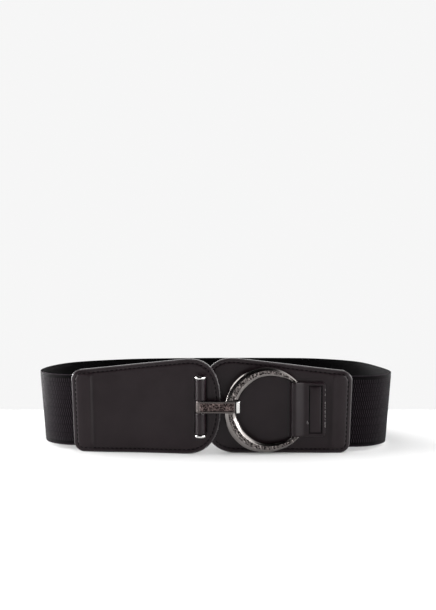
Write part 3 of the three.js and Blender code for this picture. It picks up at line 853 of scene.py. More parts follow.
@dataclass
class LeatherPanel:
    """Tapered panel of two leather layers sewn together, open at its outer end for the elastic."""

    shop: Workshop
    finishes: Finishes
    outline: PanelOutline
    grid: int = 96
    thickness: float = 3.0
    pocket_depth: float = 16.0
    pocket_ramp: float = 1.8
    pocket_low: float = 4.3
    pocket_high: float = 65.5
    pocket_gap: float = 2.1
    pocket_wall: float = 1.3
    fade_share: float = 0.75
    pocket_crown: float = 0.35
    pocket_fall: float = 0.6
    ridge: float = 0.5
    ridge_width: float = 1.4
    gather: float = 0.6
    gather_reach: float = 5.0
    end_slant: float = 2.3
    slant_start: float = 0.7
    seam_depth: float = 3.4
    seam_width: float = 0.5
    seam_sink: float = 0.34
    seam_samples: int = 400
    stitch_pitch: float = 3.8
    stitch_reach: float = 0.4
    thread: Thread = Thread(2.7, 1.1)
    parting: float = 0.01
    edge_rings: int = 3
    heart: Pair = (0.52, 0.55)
    offsets: Sequence[float] = (
        0.0, 0.12, 0.4, 0.85, 1.35, 1.9, 2.4, 2.85, 3.15, 3.4, 3.65, 3.95, 4.4, 5.2, 6.5)
    outer_round: EdgeRound = EdgeRound(0.45, 0.25)
    inner_round: EdgeRound = EdgeRound(0.15, 0.05)

    def filled(self, insets: Points, heights: Points) -> Points:
        """Returns how far the pocket opens the layers at each place, from 0 to 1."""
        ramp_start = self.outline.length - self.pocket_depth - self.pocket_ramp
        margin = self.pocket_low * self.fade_share
        crest = ramp_start + self.pocket_ramp + self.ridge_width / 2
        along = (smooth((insets - ramp_start) / self.pocket_ramp)
                 + self.ridge * np.exp(-((insets - crest) / self.ridge_width) ** 2))
        above = smooth((heights - (self.pocket_low - margin)) / margin)
        below = smooth((self.pocket_high + margin - heights) / margin)
        return along * above * below

    def flat_places(self, columns: Points, rows: Points) -> tuple[Points, Points, Points]:
        """Maps the grid's concentric squares on the panel.

        Args:
            columns: vertices' columns.
            rows: vertices' rows.

        Returns:
            Insets, heights and depths inside the outline.
        """
        size, last = self.grid, len(self.offsets) - 1
        ring = np.minimum(np.minimum(columns, rows), np.minimum(size - columns, size - rows))
        span = np.maximum(size - 2 * ring, 1)
        inset, height = np.zeros(len(columns)), np.zeros(len(columns))
        tests = (columns == size - ring, rows == size - ring, columns == ring, rows == ring)
        runs = (rows - ring, size - ring - columns, size - ring - rows, columns - ring)
        done = np.zeros(len(columns), bool)
        offset = np.interp(np.minimum(ring, last), np.arange(last + 1), np.array(self.offsets))
        for side, (test, run) in enumerate(zip(tests, runs)):
            picked = test & ~done & (run < span)
            done |= picked
            points = self.outline.at(side, run[picked] / span[picked], offset[picked])
            inset[picked], height[picked] = points[:, 0], points[:, 1]
        middle = np.array(self.heart) * np.array([self.outline.length, self.outline.outer_height])
        inset[~done], height[~done] = middle
        share = np.clip(1.0 - (ring - last) / (size / 2 - last), 0.0, 1.0)
        inside = ring > last
        inset[inside] = middle[0] + (inset[inside] - middle[0]) * share[inside]
        height[inside] = middle[1] + (height[inside] - middle[1]) * share[inside]
        beyond = inset - (self.outline.length - self.pocket_depth)
        inset = inset - inside * self.gather * beyond * np.exp(-(beyond / self.gather_reach) ** 2)
        return inset, height, offset

    def place(self, insets: Points, heights: Points, outwards: Points, from_left: bool) -> Points:
        """Bends flat places of the panel on the belt's path."""
        start = self.outline.length * self.slant_start
        near = smooth((insets - start) / (self.outline.length - start))
        slanted = insets + near * self.end_slant * (heights / self.outline.outer_height - 0.5)
        distances = slanted if from_left else self.shop.path.length - slanted
        return self.shop.path.place(distances, outwards, heights)

    def face_height(self, insets: Points, heights: Points, depths: Points) -> Points:
        """Returns how far the outer face stands from the middle of the panel."""
        swell = self.pocket_gap / 2 + self.pocket_wall - self.thickness / 2
        seam = self.seam_sink * np.exp(-((depths - self.seam_depth) / self.seam_width) ** 2)
        along = np.clip((insets - self.outline.length + self.pocket_depth) / self.pocket_depth, 0.0, 1.0)
        crown = self.pocket_crown * 4 * along * (1.0 - along) - self.pocket_fall * along ** 2
        face = self.thickness / 2 + (swell + crown) * self.filled(insets, heights)
        return face - seam - self.outer_round.lowered(depths)

    def layer(self, side: int, from_left: bool) -> Mesh:
        """Makes one leather layer as a closed wall.

        Args:
            side: 1 for the layer outside the loop, -1 for the one inside.
            from_left: whether this is the left panel.

        Returns:
            The layer, with its edge faces in the second material.
        """
        sheets = []
        for outer in (True, False):
            bm = sheet_grid(self.grid, self.grid)
            columns, rows = grid_places(bm)
            insets, heights, depths = self.flat_places(columns, rows)
            if outer:
                for face in bm.faces:
                    middle = face.calc_center_median()
                    near = min(middle.x, middle.y, self.grid - middle.x, self.grid - middle.y)
                    if near < self.edge_rings:
                        face.material_index = 1
                outwards = side * self.face_height(insets, heights, depths)
            else:
                outwards = side * (self.pocket_gap / 2 * self.filled(insets, heights)
                                   + self.inner_round.lowered(depths) + self.parting)
            move(bm, self.place(insets, heights, outwards, from_left))
            sheets.append(bm)
        return join_layers(*sheets, rim_material=2)

    def seam(self, side: int, from_left: bool) -> list[tuple[Vector, Vector, Vector]]:
        """Finds the stitches' places round one face of the panel."""
        shares = np.linspace(0.0, 1.0, self.seam_samples, endpoint=False)
        depths = np.full(self.seam_samples, self.seam_depth)
        loop = np.vstack([self.outline.at(outline_side, shares, depths) for outline_side in range(4)])
        walk = walked(loop)
        count = int(walk[-1] / self.stitch_pitch)
        at = (np.arange(count) + 0.5) * walk[-1] / count

        def placed(shift: float, raised: float) -> Points:
            """Places points beside each stitch's middle, along the seam and out of the leather."""
            insets, heights = between(at + shift, walk, loop)
            face = self.face_height(insets, heights, np.full(count, self.seam_depth))
            return self.place(insets, heights, side * (face + raised), from_left)

        behind, ahead = placed(-self.stitch_reach, 0.0), placed(self.stitch_reach, 0.0)
        above = placed(-self.stitch_reach, 1.0)
        return [(Vector((a + b) / 2), Vector(b - a), Vector(c - a)) for a, b, c in zip(behind, ahead, above)]

    def build(self, name: str, from_left: bool) -> None:
        """Makes the panel's two layers and its stitches."""
        bm = merged(self.layer(1, from_left), self.layer(-1, from_left))
        finishes = (self.finishes.leather, self.finishes.edge, self.finishes.rim)
        self.shop.piece(name + "_leather", bm, finishes, Slot.LEATHER, (name,))
        bm = self.thread.sewn(self.seam(1, from_left))
        self.thread.sewn(self.seam(-1, from_left), bm)
        self.shop.piece(name + "_stitches", bm, (self.finishes.thread,), Slot.LEATHER)


@dataclass
class ElasticBand:
    """Woven elastic with staggered ribs, from one panel's pocket round the back to the other's."""

    shop: Workshop
    finishes: Finishes
    width: float = 60.6
    thickness: float = 1.5
    panel_length: float = 125.5
    in_pocket: float = 15.4
    rib_pitch: float = 2.1
    rib_columns: int = 4
    brick: float = 3.6
    turn_share: float = 0.25
    rib_height: float = 0.24
    selvedge: float = 3.4
    selvedge_fade: float = 0.8
    cord_pitch: float = 1.1
    cord_rise: float = 0.28
    edge_fall: float = 0.35
    edge_reach: float = 0.9
    # Even relief of the loop's inner face, low enough that its colour is the gap's painted shade
    inner_relief_and_shade: float = 0.5
    front_rows: int = 66
    back_rows: int = 24

    def relief(self, distances: Points, rises: Points) -> Points:
        """Returns the weave's relief from 0 in the gaps to 1 on the ribs."""
        brick = np.floor(rises / self.brick)
        part = rises / self.brick - brick
        turn = smooth((part - 1.0 + self.turn_share) / self.turn_share)
        odd = brick % 2
        shift = (odd + (1 - 2 * odd) * turn) * self.rib_pitch / 2
        ribs = np.abs(np.cos(np.pi * (distances + shift) / self.rib_pitch))
        inner = np.minimum(rises, self.width - rises) - self.selvedge
        woven = smooth(inner / self.selvedge_fade + 0.5)
        cords = 1.0 - self.cord_rise + self.cord_rise * np.cos(2 * np.pi * rises / self.cord_pitch)
        return ribs * woven + cords * (1.0 - woven)

    def build(self) -> None:
        """Makes the band."""
        path = self.shop.path
        start = self.panel_length - self.in_pocket
        stop = path.length - start
        columns = int(round((stop - start) / self.rib_pitch * self.rib_columns))
        distances = np.linspace(start, stop, columns + 1)
        front = np.linspace(0.0, self.width, self.front_rows + 1)
        back = np.linspace(self.width, 0.0, self.back_rows + 1)
        rises = np.concatenate([front, back])
        signs = np.concatenate([np.ones(len(front)), -np.ones(len(back))])

        def relief(along: Points, around: Points) -> Points:
            """Gives the weave's relief outside the loop and an even one inside it, low enough to paint the
            inside in the gap's near black as painted shade.
            """
            weave = self.relief(distances[along], rises[around])
            return np.where(signs[around] > 0, weave, self.inner_relief_and_shade)

        def shape(along: Points, around: Points) -> Points:
            """Places the band's vertices, with rounded edges."""
            distance, rise = distances[along], rises[around]
            edge = np.minimum(rise, self.width - rise)
            rounded = self.edge_fall * np.sqrt(np.clip(1.0 - edge / self.edge_reach, 0.0, 1.0))
            half = self.thickness / 2 - self.rib_height + relief(along, around) * self.rib_height - rounded
            return path.place(distance, signs[around] * half, path.foot(distance) + rise)

        bm = wrapped(columns, len(rises), shape, relief=relief)
        band = self.shop.piece("elastic_webbing", bm, (self.finishes.elastic,), Slot.ELASTIC,
                               ("elastic_band",))


@dataclass
class Clasp:
    """Hook on its rod, crescent ring on its bar, and the leather that holds them."""

    shop: Workshop
    finishes: Finishes
    clearance: float = 0.3
    panel_thickness: float = 3.0
    rod_inset: float = 16.2
    rod_height: float = 41.2
    rod_radius: float = 2.4
    rod_length: float = 51.0
    flange_radius: float = 5.1
    flange_thickness: float = 2.0
    stud_radius: float = 1.3
    stud_rise: float = 0.4
    lip: float = 0.35
    lip_corner: float = 0.3
    rod_fillet: float = 0.2
    stud: Sequence[Pair] = ((0.0, 1.0), (0.6, 0.95), (1.0, 0.5))
    stud_foot: Sequence[Pair] = ((1.15, 0.15), (1.6, 0.12))
    flange_crown: Sequence[Pair] = ((2.2, 0.05), (1.0, 0.02))
    turn_steps: int = 64
    loop_leather: float = 1.5
    loop_seat: float = 1.1
    slit_shades: Pair = (1.7, 0.9)
    slit_shade_thickness: float = 0.4
    slit_shade_overlap: float = 0.1
    loop_round: EdgeRound = EdgeRound(0.5, 0.4)
    loop_step: float = 0.4
    loop_rows: int = 30
    hook_height: float = 9.8
    hook_thickness: float = 1.4
    eye_wall: float = 1.4
    bend_radius: float = 2.6
    leg_length: float = 7.5
    border: float = 1.3
    inset_depth: float = 0.45
    inset_lead: float = 0.6
    inset_end: float = 5.2
    inset_fade: float = 0.35
    inset_shows: float = 0.2
    inset_dents: Triple = (0.9, 0.14, 3.1)
    roll_lead: float = 0.9
    roll_width: float = 0.35
    roll_depth: float = 0.3
    hook_round: EdgeRound = EdgeRound(0.45, 0.35)
    hook_step: float = 0.35
    hook_rows: int = 40
    bend_highlight_reach: float = 1.6
    dark_reflection_width: float = 0.9
    slant_room: float = 0.16
    ring_radius: float = 36.0
    ring_width: float = 9.9
    ring_thickness: float = 3.8
    ring_height: float = 37.5
    ring_columns: int = 460
    ring_around: int = 60
    section_samples: int = 960
    section_reach: int = 18
    far_fade: Pair = (100.0, 25.0)
    crown_fade: Pair = (168.0, 10.0)
    foot_fade: Pair = (78.0, 28.0)
    crest_half: float = 0.2
    crest_fade: float = 0.05
    crest_level: float = 0.6
    crest_paint: float = 0.19
    crest_dents: Triple = (0.8, 0.16, 7.7)
    crest_rise: float = 0.1
    cap: Sequence[Pair] = ((0, 0.84), (1, 0.95), (3, 1.0))
    bar_radius: float = 1.8
    bar_inset: float = 78.4
    bar_share: float = 0.7
    bar_in_tip: float = 1.0
    bar_segments: int = 32
    tip_thickness: float = 0.7
    inner_flare: float = 0.8
    outer_flare: float = 0.8
    foot_flare: float = 1.4
    tip_width: float = 4.2
    tip_reach: float = 0.972
    tip_angle: float = 45.0
    tip_shear: float = 25.0
    tab_leather: float = 1.4
    tab_reach: float = 25.5
    tab_height: float = 45.8
    tab_corner: float = 3.0
    tab_flat: float = 9.0
    tab_leave: float = -55.0
    tab_pull: float = 0.3
    tab_slack: float = 0.8
    tab_round: EdgeRound = EdgeRound(0.6, 0.45)
    tab_step: float = 0.45
    tab_rows: int = 110
    sewn_length: float = 16.2
    sewn_margin: float = 3.0
    seam_shade_width: float = 0.5
    groove_depth: float = 0.4
    groove_width: float = 0.55
    groove_reach: float = 17.0
    margin_fall: float = 0.25
    margin_reach: float = 12.0
    pillow: float = 0.6
    pillow_power: int = 8
    stitch_pitch: float = 2.7
    thread: Thread = Thread(2.3, 0.85)
    thread_sink: float = 0.3
    fray_seed: int = 7
    end_frays: int = 26
    end_heights: Pair = (-16.0, 18.0)
    seam_frays: int = 7
    seam_reaches: Pair = (-2.2, -0.4)
    seam_heights: Pair = (-12.5, -9.5)
    fray_sink: float = 0.1
    fray_lean: Pair = (-0.6, 0.6)
    fray_length: Pair = (0.5, 1.3)
    fray_width: float = 0.4
    taper: Sequence[Triple] = (
        (45.0, 0.424, 0.972), (57.0, 0.5, 0.974), (69.0, 0.65, 0.981), (90.0, 0.8, 0.996), (130.0, 0.95, 1.0),
        (180.0, 1.0, 1.0))
    section: Sequence[Pair] = (
        (0.04, 0.0), (0.0, 0.3), (0.12, 0.72), (0.32, 1.0),
        (0.68, 1.0), (0.91, 0.66), (1.0, 0.3), (0.96, 0.0))
    rod_standoff: float = field(init=False)
    rod_seat: Matrix = field(init=False)
    bar_hole: float = field(init=False)
    bar_seat: Matrix = field(init=False)
    tab_roll: float = field(init=False)
    tab_front: float = field(init=False)
    ring_to_bar: float = field(init=False)
    ring_seat: Matrix = field(init=False)
    tip_foot: float = field(init=False)
    throat: float = field(init=False)
    eye_radius: float = field(init=False)
    hook_seat: Matrix = field(init=False)
    bend_inside: float = field(init=False)

    def __post_init__(self) -> None:
        """Seats the rod and the ring's bar on their panels and turns the ring to the hook."""
        path = self.shop.path
        face = self.panel_thickness / 2
        self.rod_standoff = self.flange_radius + self.clearance
        self.rod_seat = path.seat(self.rod_inset, face + self.rod_standoff, self.rod_height)
        self.bar_hole = self.bar_radius + self.clearance
        self.tab_roll = self.bar_hole + self.tab_leather
        self.tab_front = self.bar_hole - self.clearance - self.tab_leather
        self.bar_seat = path.seat(path.length - self.bar_inset, face + self.tab_roll + self.clearance,
                                  self.ring_height)
        tip = self.ring_radius * self.tip_reach - self.tip_width / 2
        self.ring_to_bar = self.bar_share * tip
        self.tip_foot = self.tab_height / 2 + self.clearance
        self.throat = self.ring_thickness + self.ring_width * self.slant_room + 2 * self.clearance
        self.eye_radius = self.rod_radius + self.clearance + self.eye_wall
        rod_at, bar_at = self.rod_seat.to_translation(), self.bar_seat.to_translation()
        rim_depth = rod_at.y - self.eye_radius + self.hook_thickness + self.throat / 2
        reach = self.ring_to_bar + self.ring_radius - self.ring_width / 2
        tilt = math.asin((bar_at.y - rim_depth) / reach)
        self.hook_seat = Matrix.Translation(rod_at)
        self.ring_seat = Matrix.Translation(bar_at) @ Matrix.Rotation(tilt, 4, "Z")
        off_centre = abs(self.rod_height - self.ring_height) + self.hook_height / 2
        chord = math.sqrt((self.ring_radius - self.ring_width) ** 2 - off_centre ** 2)
        self.bend_inside = bar_at.x - (self.ring_to_bar + chord) * math.cos(tilt) - rod_at.x + self.clearance

    def rod(self) -> None:
        """Makes the rod with its two flanges by turning its outline."""
        half = self.rod_length / 2
        inner = half - self.flange_thickness
        lip, corner, fillet = self.lip, self.lip * self.lip_corner, self.rod_fillet
        edge = self.flange_radius
        outline = [(self.stud_radius * across, half + self.stud_rise * up) for across, up in self.stud]
        outline += [(self.stud_radius * across, half - fall) for across, fall in self.stud_foot]
        outline += [(edge - lip * inset, half - fall) for inset, fall in self.flange_crown]
        outline += [(edge - corner, half - corner), (edge, half - lip), (edge, inner + lip),
                    (edge - corner, inner + corner), (edge - lip, inner),
                    (self.rod_radius + fillet, inner), (self.rod_radius, inner - fillet)]
        bm = bmesh.new()
        verts = [bm.verts.new((radius, 0.0, height)) for radius, height in outline]
        verts += [bm.verts.new((radius, 0.0, -height)) for radius, height in reversed(outline)]
        edges = [bm.edges.new(pair) for pair in zip(verts, verts[1:])]
        bmesh.ops.spin(bm, geom=verts + edges, cent=(0, 0, 0), axis=(0, 0, 1), angle=2 * math.pi,
                       steps=self.turn_steps, use_merge=True)
        bmesh.ops.remove_doubles(bm, verts=bm.verts, dist=SPIN_WELD)
        bmesh.ops.recalc_face_normals(bm, faces=bm.faces)
        self.shop.piece("rod_metal", bm, (self.finishes.polished,), Slot.POLISHED, ("hook_rod",),
                        self.rod_seat)

    def rod_loops(self) -> None:
        """Makes the two leather loops round the rod, each with a thin black box beside it on the panel as
        painted shade where the strap goes into its slits.
        """
        outer = self.rod_radius + self.clearance + self.loop_leather
        seat = self.rod_standoff + self.loop_seat
        low = self.hook_height / 2 + self.clearance
        high = self.rod_length / 2 - self.flange_thickness - self.clearance
        for name, bottom, top in (("upper", low, high), ("lower", -high, -low)):
            path = FoldPath(self.loop_step).line((-outer, seat), (-outer, 0.0))
            path.arc((0.0, 0.0), outer, 180.0, 360.0).line((outer, 0.0), (outer, seat))
            bm = Strip(path, self.loop_leather, bottom, top, self.loop_round, self.loop_rows).build()
            # Black boxes on the panel beside each loop stand for the shade in the slits
            for side, reach in zip((-1.0, 1.0), self.slit_shades):
                across = side * (outer + reach / 2 - self.slit_shade_overlap)
                middle = Matrix.Translation((across, self.rod_standoff, (bottom + top) / 2))
                size = Matrix.Diagonal((reach, self.slit_shade_thickness, top - bottom, 1.0))
                shade_box = bmesh.ops.create_cube(bm, size=1.0, matrix=middle @ size)
                for face in {face for vert in shade_box["verts"] for face in vert.link_faces}:
                    face.material_index = 1
            self.shop.piece(name + "_loop_leather", bm, (self.finishes.leather, self.finishes.thread),
                            Slot.LEATHER, (name + "_rod_loop",), self.rod_seat)

    def hook(self) -> None:
        """Makes the hook: eye, bar with a raised border, bend and return leg."""
        front, bend = -self.eye_radius, self.bend_radius
        right = self.bend_inside + self.hook_thickness
        back = front + 2 * self.hook_thickness + self.throat
        meet = math.degrees(math.asin((front + self.hook_thickness) / self.eye_radius))
        path = FoldPath(self.hook_step).arc((0.0, 0.0), self.eye_radius, meet, 270.0)
        eye_length = math.radians(270.0 - meet) * self.eye_radius
        path.line((0.0, front), (right - bend, front)).arc((right - bend, front + bend), bend, -90.0, 0.0)
        path.line((right, front + bend), (right, back - bend))
        path.arc((right - bend, back - bend), bend, 0.0, 90.0)
        path.line((right - bend, back), (right - self.leg_length, back))
        inset_start = eye_length - self.inset_lead
        inset_end = eye_length + right - self.inset_end
        groove = inset_start - self.roll_lead
        half, corner = self.hook_height / 2 - self.border, self.border
        highlight_start = eye_length + right - bend - self.bend_highlight_reach
        pitch, dent, layer = self.inset_dents

        def inside(distance: Points, height: Points) -> Points:
            """Returns how far each place is inside the inset's rounded rectangle."""
            across = np.abs(distance - (inset_start + inset_end) / 2) - (inset_end - inset_start) / 2 + corner
            up = np.abs(height) - half + corner
            outside = np.hypot(np.maximum(across, 0.0), np.maximum(up, 0.0))
            return corner - outside - np.minimum(np.maximum(across, up), 0.0)

        def relief(distance: Points, height: Points) -> Points:
            """Sinks the dented inset and the groove beside the eye."""
            bumps = dents(distance * pitch, height * pitch, layer)
            sunk = smooth(inside(distance, height) / self.inset_fade)
            roll = np.exp(-((distance - groove) / self.roll_width) ** 2)
            return sunk * (self.inset_depth + dent * bumps) + self.roll_depth * roll

        def finish(distance: float, height: float) -> int:
            """Picks the border, the inset, the bend in bright metal as a painted highlight, or the black line
            before it as a painted dark reflection.
            """
            # The bend gets the bright metal as a painted highlight and the thread's black just before it as a
            # painted dark reflection
            if distance > highlight_start:
                return 2 if distance > highlight_start + self.dark_reflection_width else 3
            return 1 if inside(np.array([distance]), np.array([height]))[0] > self.inset_shows else 0

        strip = Strip(path, self.hook_thickness, -self.hook_height / 2, self.hook_height / 2,
                      self.hook_round, self.hook_rows, relief=relief, finish=finish)
        finishes = (self.finishes.border, self.finishes.inset, self.finishes.polished, self.finishes.thread)
        self.shop.piece("hook_metal", strip.build(), finishes, Slot.GUNMETAL, ("hook",), self.hook_seat)

    def section_line(self, steps: int) -> tuple[Points, Points]:
        """Walks round the ring's section with softened corners.

        Args:
            steps: points round the section.

        Returns:
            Across and rise shares of each point.
        """
        corners = np.array([*self.section, self.section[0]])
        scaled = corners * np.array([self.ring_width, self.ring_thickness])
        walk = walked(scaled)
        fine = np.linspace(0.0, walk[-1], self.section_samples, endpoint=False)
        line = between(fine, walk, corners)
        reach = self.section_reach
        soft = sum(np.roll(line, shift, axis=1) for shift in range(-reach, reach + 1)) / (2 * reach + 1)
        across, rise = soft[:, (np.arange(steps) * self.section_samples / steps).astype(int)]
        return across, rise

    def ring(self) -> None:
        """Makes the crescent ring with its hammered crest, and its bar."""
        columns, around = self.ring_columns, self.ring_around
        across, rise = self.section_line(around)
        degrees = np.linspace(self.tip_angle, 360.0 - self.tip_angle, columns + 1)
        lower = degrees > 180.0
        degrees = np.minimum(degrees, 360.0 - degrees)
        table = np.array(self.taper)
        widths = self.ring_width * np.interp(degrees, table[:, 0], table[:, 1])
        outers = self.ring_radius * np.interp(degrees, table[:, 0], table[:, 2])
        far = smooth((degrees - self.far_fade[0]) / self.far_fade[1])
        foot = self.foot_flare * lower * smooth((self.foot_fade[0] - degrees) / self.foot_fade[1])
        crown = smooth((self.crown_fade[0] - degrees) / self.crown_fade[1])
        outers += self.outer_flare * far + foot
        widths += self.outer_flare * far + foot + self.inner_flare * far * crown
        shear = smooth(1.0 - (degrees - self.tip_angle) / self.tip_shear)
        from_end = np.minimum(np.arange(columns + 1), columns - np.arange(columns + 1))
        cap = np.interp(from_end, *zip(*self.cap))
        pitch, dent, layer = self.crest_dents

        def shape(along: Points, round_: Points) -> Points:
            """Places the ring's vertices, with square feet on the tab and closed ends."""
            width, outer, degree = widths[along], outers[along], degrees[along]
            slim = self.tip_thickness + (1 - self.tip_thickness) * width / self.ring_width
            radius = outer - width / 2 + width * (across[round_] - 0.5) * cap[along]
            square = np.degrees(np.arcsin(self.tip_foot / radius))
            angle = np.radians(degree + (square - self.tip_angle) * shear[along])
            angle = np.where(lower[along], -angle, angle)
            depth = self.ring_thickness * slim * (0.5 - rise[round_])
            middle = np.abs(across[round_] - 0.5)
            crest = smooth((self.crest_half - middle) / self.crest_fade) * (rise[round_] > self.crest_level)
            x, z = radius * np.cos(angle), radius * np.sin(angle)
            bumps = dents(x * pitch, z * pitch, layer)
            depth = depth * cap[along] + crest * (dent * bumps + self.crest_rise)
            return np.stack([x - self.ring_to_bar, depth, z], axis=1)

        def finish(column: float, row: float) -> int:
            """Picks the hammered crest or the plain bevels."""
            at = int(row) % around
            ahead = (at + 1) % around
            middle = abs((across[at] + across[ahead]) / 2 - 0.5)
            return 1 if middle < self.crest_paint and rise[at] > self.crest_level else 0

        bm = wrapped(columns, around, shape, finish)
        bmesh.ops.create_cone(bm, cap_ends=True, segments=self.bar_segments, radius1=self.bar_radius,
                              radius2=self.bar_radius, depth=2 * (self.tip_foot + self.bar_in_tip))
        self.shop.piece("ring_metal", bm, (self.finishes.gunmetal, self.finishes.hammered), Slot.GUNMETAL,
                        ("ring",), self.ring_seat)

    def tab(self) -> None:
        """Makes the leather tab folded round the ring's bar."""
        roll, end, front = self.tab_roll, self.tab_reach, self.tab_front
        leave = math.radians(self.tab_leave)
        pull = self.tab_flat * self.tab_pull
        off = (roll * math.cos(leave), roll * math.sin(leave))
        slack = pull * self.tab_slack
        handle = (off[0] - slack * math.sin(leave), off[1] + slack * math.cos(leave))
        path = FoldPath(self.tab_step).line((end, roll), (0.0, roll))
        path.arc((0.0, 0.0), roll, 90.0, 360.0 + self.tab_leave)
        path.curve(off, handle, (self.tab_flat - pull, front), (self.tab_flat, front))
        path.line((self.tab_flat, front), (end, front))
        total = path.sampled()[0][-1]
        half, sewn, margin = self.tab_height / 2, self.sewn_length, self.sewn_margin

        def relief(distance: Points, height: Points) -> Points:
            """Sinks the seam and the margin round it, and raises the low pillow inside it."""
            ahead = total - distance
            seam = np.minimum(np.minimum(ahead, sewn - ahead), half - np.abs(height)) - margin
            groove = self.groove_depth * np.exp(-(seam / self.groove_width) ** 2)
            fall = self.margin_fall * smooth(-seam / margin) * (ahead < self.margin_reach)
            over = np.clip(1.0 - ((ahead - sewn / 2) / (sewn / 2 - margin)) ** 2, 0.0, 1.0)
            fullness = np.clip(1.0 - (height / (half - margin)) ** self.pillow_power, 0.0, 1.0)
            return groove * (ahead < self.groove_reach) + fall - self.pillow * over * fullness

        def finish(distance: float, height: float) -> int:
            """Picks the black line of the seam, which is the dark thread and painted shade in its groove, or
            the leather.
            """
            ahead = total - distance
            # The black band along the seam is partly the dark thread, partly painted shade in the groove
            return 1 if abs(min(ahead, sewn - ahead, half - abs(height)) - margin) < self.seam_shade_width else 0

        strip = Strip(path, self.tab_leather, -half, half, self.tab_round, self.tab_rows, self.tab_corner,
                      relief=relief, finish=finish)
        self.shop.piece("tab_leather", strip.build(), (self.finishes.leather, self.finishes.thread),
                        Slot.LEATHER, ("ring_tab",), self.bar_seat)

    def tab_stitches(self) -> None:
        """Makes the tab's stitched rectangle and the loose fibres beside it."""
        end, front, out = self.tab_reach, self.tab_front, Vector((0.0, -1.0, 0.0))
        left, right = end - self.sewn_length + self.sewn_margin, end - self.sewn_margin
        top = self.tab_height / 2 - self.sewn_margin
        corners = ((left, -top), (right, -top), (right, top), (left, top))
        marks = []
        for start, stop in zip(corners, corners[1:] + corners[:1]):
            run = Vector((stop[0] - start[0], 0.0, stop[1] - start[1]))
            count = round(run.length / self.stitch_pitch)
            first = Vector((start[0], front + self.thread_sink, start[1]))
            marks += [(first + run * (k + 0.5) / count, run, out) for k in range(count)]
        bm = self.thread.sewn(marks)
        sewn = len(bm.faces)
        loose = random.Random(self.fray_seed)
        frays = [(end - self.fray_sink, loose.uniform(*self.end_heights)) for _ in range(self.end_frays)]
        frays += [(left + loose.uniform(*self.seam_reaches), loose.uniform(*self.seam_heights))
                  for _ in range(self.seam_frays)]
        for x, z in frays:
            along = Vector((loose.uniform(*self.fray_lean), 0.0, 1.0))
            fibre = Thread(loose.uniform(*self.fray_length), self.fray_width)
            fibre.sewn([(Vector((x, front + self.fray_sink, z)), along, out)], bm)
        bm.faces.ensure_lookup_table()
        for face in bm.faces[sewn:]:
            face.material_index = 1
        self.shop.piece("tab_stitches", bm, (self.finishes.thread, self.finishes.fibre), Slot.LEATHER,
                        seat=self.bar_seat)

    def build(self) -> None:
        """Makes all the clasp's pieces."""
        self.rod()
        self.rod_loops()
        self.hook()
        self.ring()
        self.tab()
        self.tab_stitches()


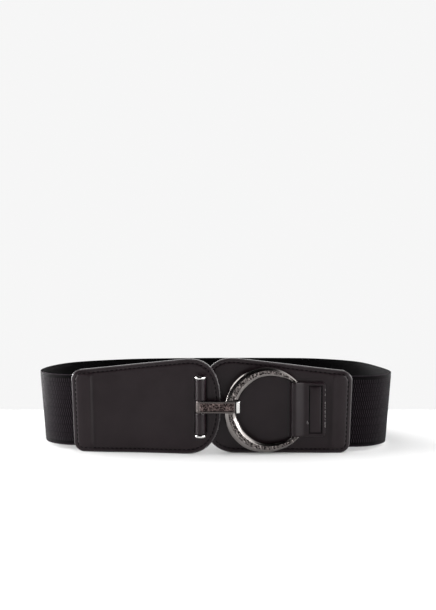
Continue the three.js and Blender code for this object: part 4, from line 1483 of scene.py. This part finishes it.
@dataclass
class Studio:
    """Camera, floor, surroundings and lights, placed from the plan frame's origin.

    Each fade of the light tent holds where it starts and stops on its axis, and its values there.
    """

    origin: Vector
    camera_at: Triple = (1.7, -1193.74, 247.46)
    pitch: float = 5.87
    lens: float = 85.0
    sensor: float = 36.0
    clip: Pair = (0.01, 50.0)
    floor_far: float = 204.5
    floor_near: float = -2600.0
    floor_side: float = 2600.0
    fill: float = 0.95
    backdrop: float = 0.923
    left_side: float = 4.6
    right_side: float = 1.8
    low_gain: float = 8.0
    window: float = 11.0
    high_window: float = 3.6
    back_front: Fade = (-0.1, 0.25, 0.03, 0.95)
    back_top: Fade = (0.45, 0.75, 1.0, 0.06)
    side_edge: Pair = (0.42, 0.56)
    side_front: Fade = (-0.34, -0.2, 0.0, 1.0)
    side_low: Pair = (0.18, 0.3)
    side_top: Fade = (0.82, 0.95, 1.0, 0.0)
    window_near: Fade = (0.42, 0.58, 0.0, 1.0)
    window_far: Fade = (0.92, 0.98, 1.0, 0.0)
    window_low: Pair = (0.15, 0.27)
    window_back: Fade = (-0.35, -0.25, 1.0, 0.0)
    window_top: Fade = (0.45, 0.6, 1.0, 0.0)
    floor_white: float = 0.85
    floor_rough: float = 0.8
    floor_shine: float = 0.1
    lamp_place: Pair = (2900.0, 1250.0)
    lamp_aim: float = 30.0
    lamp_size: Pair = (1.8, 2.6)
    left_watts: float = 29.0
    right_watts: float = 20.0

    def camera(self) -> None:
        """Adds the camera at the photograph's place."""
        data = bpy.data.cameras.new("camera")
        data.lens = self.lens
        data.sensor_width = self.sensor
        data.clip_start, data.clip_end = self.clip
        camera = added("camera", data)
        camera.location = self.origin + Vector(self.camera_at) * MM
        camera.rotation_euler = (math.radians(90.0 - self.pitch), 0.0, 0.0)
        bpy.context.scene.camera = camera

    def floor(self) -> None:
        """Adds the white floor, which ends close behind the belt."""
        bm = bmesh.new()
        depth = self.floor_far - self.floor_near
        size = Matrix.Diagonal((self.floor_side, depth / 2, 1.0, 1.0))
        middle = Matrix.Translation((0.0, (self.floor_far + self.floor_near) / 2, 0.0))
        bmesh.ops.create_grid(bm, x_segments=1, y_segments=1, size=1.0, matrix=middle @ size)
        material, _, shader = Surface("white_floor", self.floor_rough).start(specular=self.floor_shine)
        shader.inputs["Base Color"].default_value = (*[self.floor_white] * 3, 1.0)
        meshed("floor", bm, self.origin, (material,))

    def surroundings(self) -> None:
        """Adds the light tent: a bright backdrop, bright sides and dark above and round the camera.

        Matt surfaces get an even fill instead, so that the floor stays white beside the belt.
        """
        world = bpy.data.worlds.new("light_tent")
        world.use_nodes = True
        tree = world.node_tree
        background = tree.nodes["Background"]
        place = link(tree, "ShaderNodeTexCoord").outputs["Generated"]
        parts = link(tree, "ShaderNodeSeparateXYZ", {0: place}).outputs

        def share(axis: str, start: float, stop: float, first: float, last: float) -> Socket:
            """Fades from one value to another as the ray's direction passes between two places."""
            return ranged(tree, parts[axis], (start, stop), (first, last))

        def times(first: Socket, *others: Socket) -> Socket:
            """Multiplies shares."""
            for other in others:
                first = maths(tree, "MULTIPLY", first, other)
            return first

        near, far = self.side_edge
        behind = times(share("Y", *self.back_front), share("Z", *self.back_top))
        sides = maths(tree, "ADD", share("X", -near, -far, 0.0, self.left_side),
                      share("X", near, far, 0.0, self.right_side))
        low_sides = times(share("Z", *self.side_low, self.low_gain, 1.0), share("Z", *self.side_top))
        lit = times(sides, share("Y", *self.side_front), low_sides)
        window = times(share("X", *self.window_near), share("X", *self.window_far),
                       share("Z", *self.window_low, self.window, self.high_window),
                       share("Y", *self.window_back), share("Z", *self.window_top))
        tent = maths(tree, "ADD", behind, maths(tree, "ADD", lit, window))
        ray = link(tree, "ShaderNodeLightPath").outputs
        filled = link(tree, "ShaderNodeMix", {"Factor": ray["Is Diffuse Ray"], 2: tent, 3: self.fill})
        mixed = link(tree, "ShaderNodeMix", {
            "Factor": ray["Is Camera Ray"], 2: filled.outputs[0], 3: self.backdrop})
        tree.links.new(mixed.outputs[0], background.inputs["Color"])
        background.inputs["Strength"].default_value = 1.0
        bpy.context.scene.world = world

    def lamp(self, name: str, side: float, power: float) -> None:
        """Adds a soft light beside the belt that looks at it.

        Args:
            name: the light's name.
            side: -1 for the left, 1 for the right.
            power: its power in watts.
        """
        place = Vector((side * self.lamp_place[0], 0.0, self.lamp_place[1]))
        data = bpy.data.lights.new(name, "AREA")
        data.shape = "RECTANGLE"
        data.size, data.size_y = self.lamp_size
        data.energy = power
        lamp = added(name, data)
        lamp.location = self.origin + place * MM
        aim = Vector((0.0, 0.0, self.lamp_aim)) - place
        lamp.rotation_euler = aim.to_track_quat("-Z", "Y").to_euler()
        lamp.visible_glossy = False

    def build(self) -> None:
        """Sets up everything around the belt."""
        self.camera()
        self.floor()
        self.surroundings()
        self.lamp("left_box", -1.0, self.left_watts)
        self.lamp("right_box", 1.0, self.right_watts)
        bpy.context.scene.view_settings.view_transform = "Standard"


def main() -> None:
    """Builds the belt and its studio."""
    logging.basicConfig(level=logging.INFO, format="%(message)s")
    shop = Workshop(BeltPath())
    Studio(shop.origin).build()
    finishes = Finishes()
    panel = LeatherPanel(shop, finishes, PanelOutline())
    panel.build("left_panel", True)
    panel.build("right_panel", False)
    ElasticBand(shop, finishes).build()
    Clasp(shop, finishes).build()


if __name__ == "__main__":
    main()
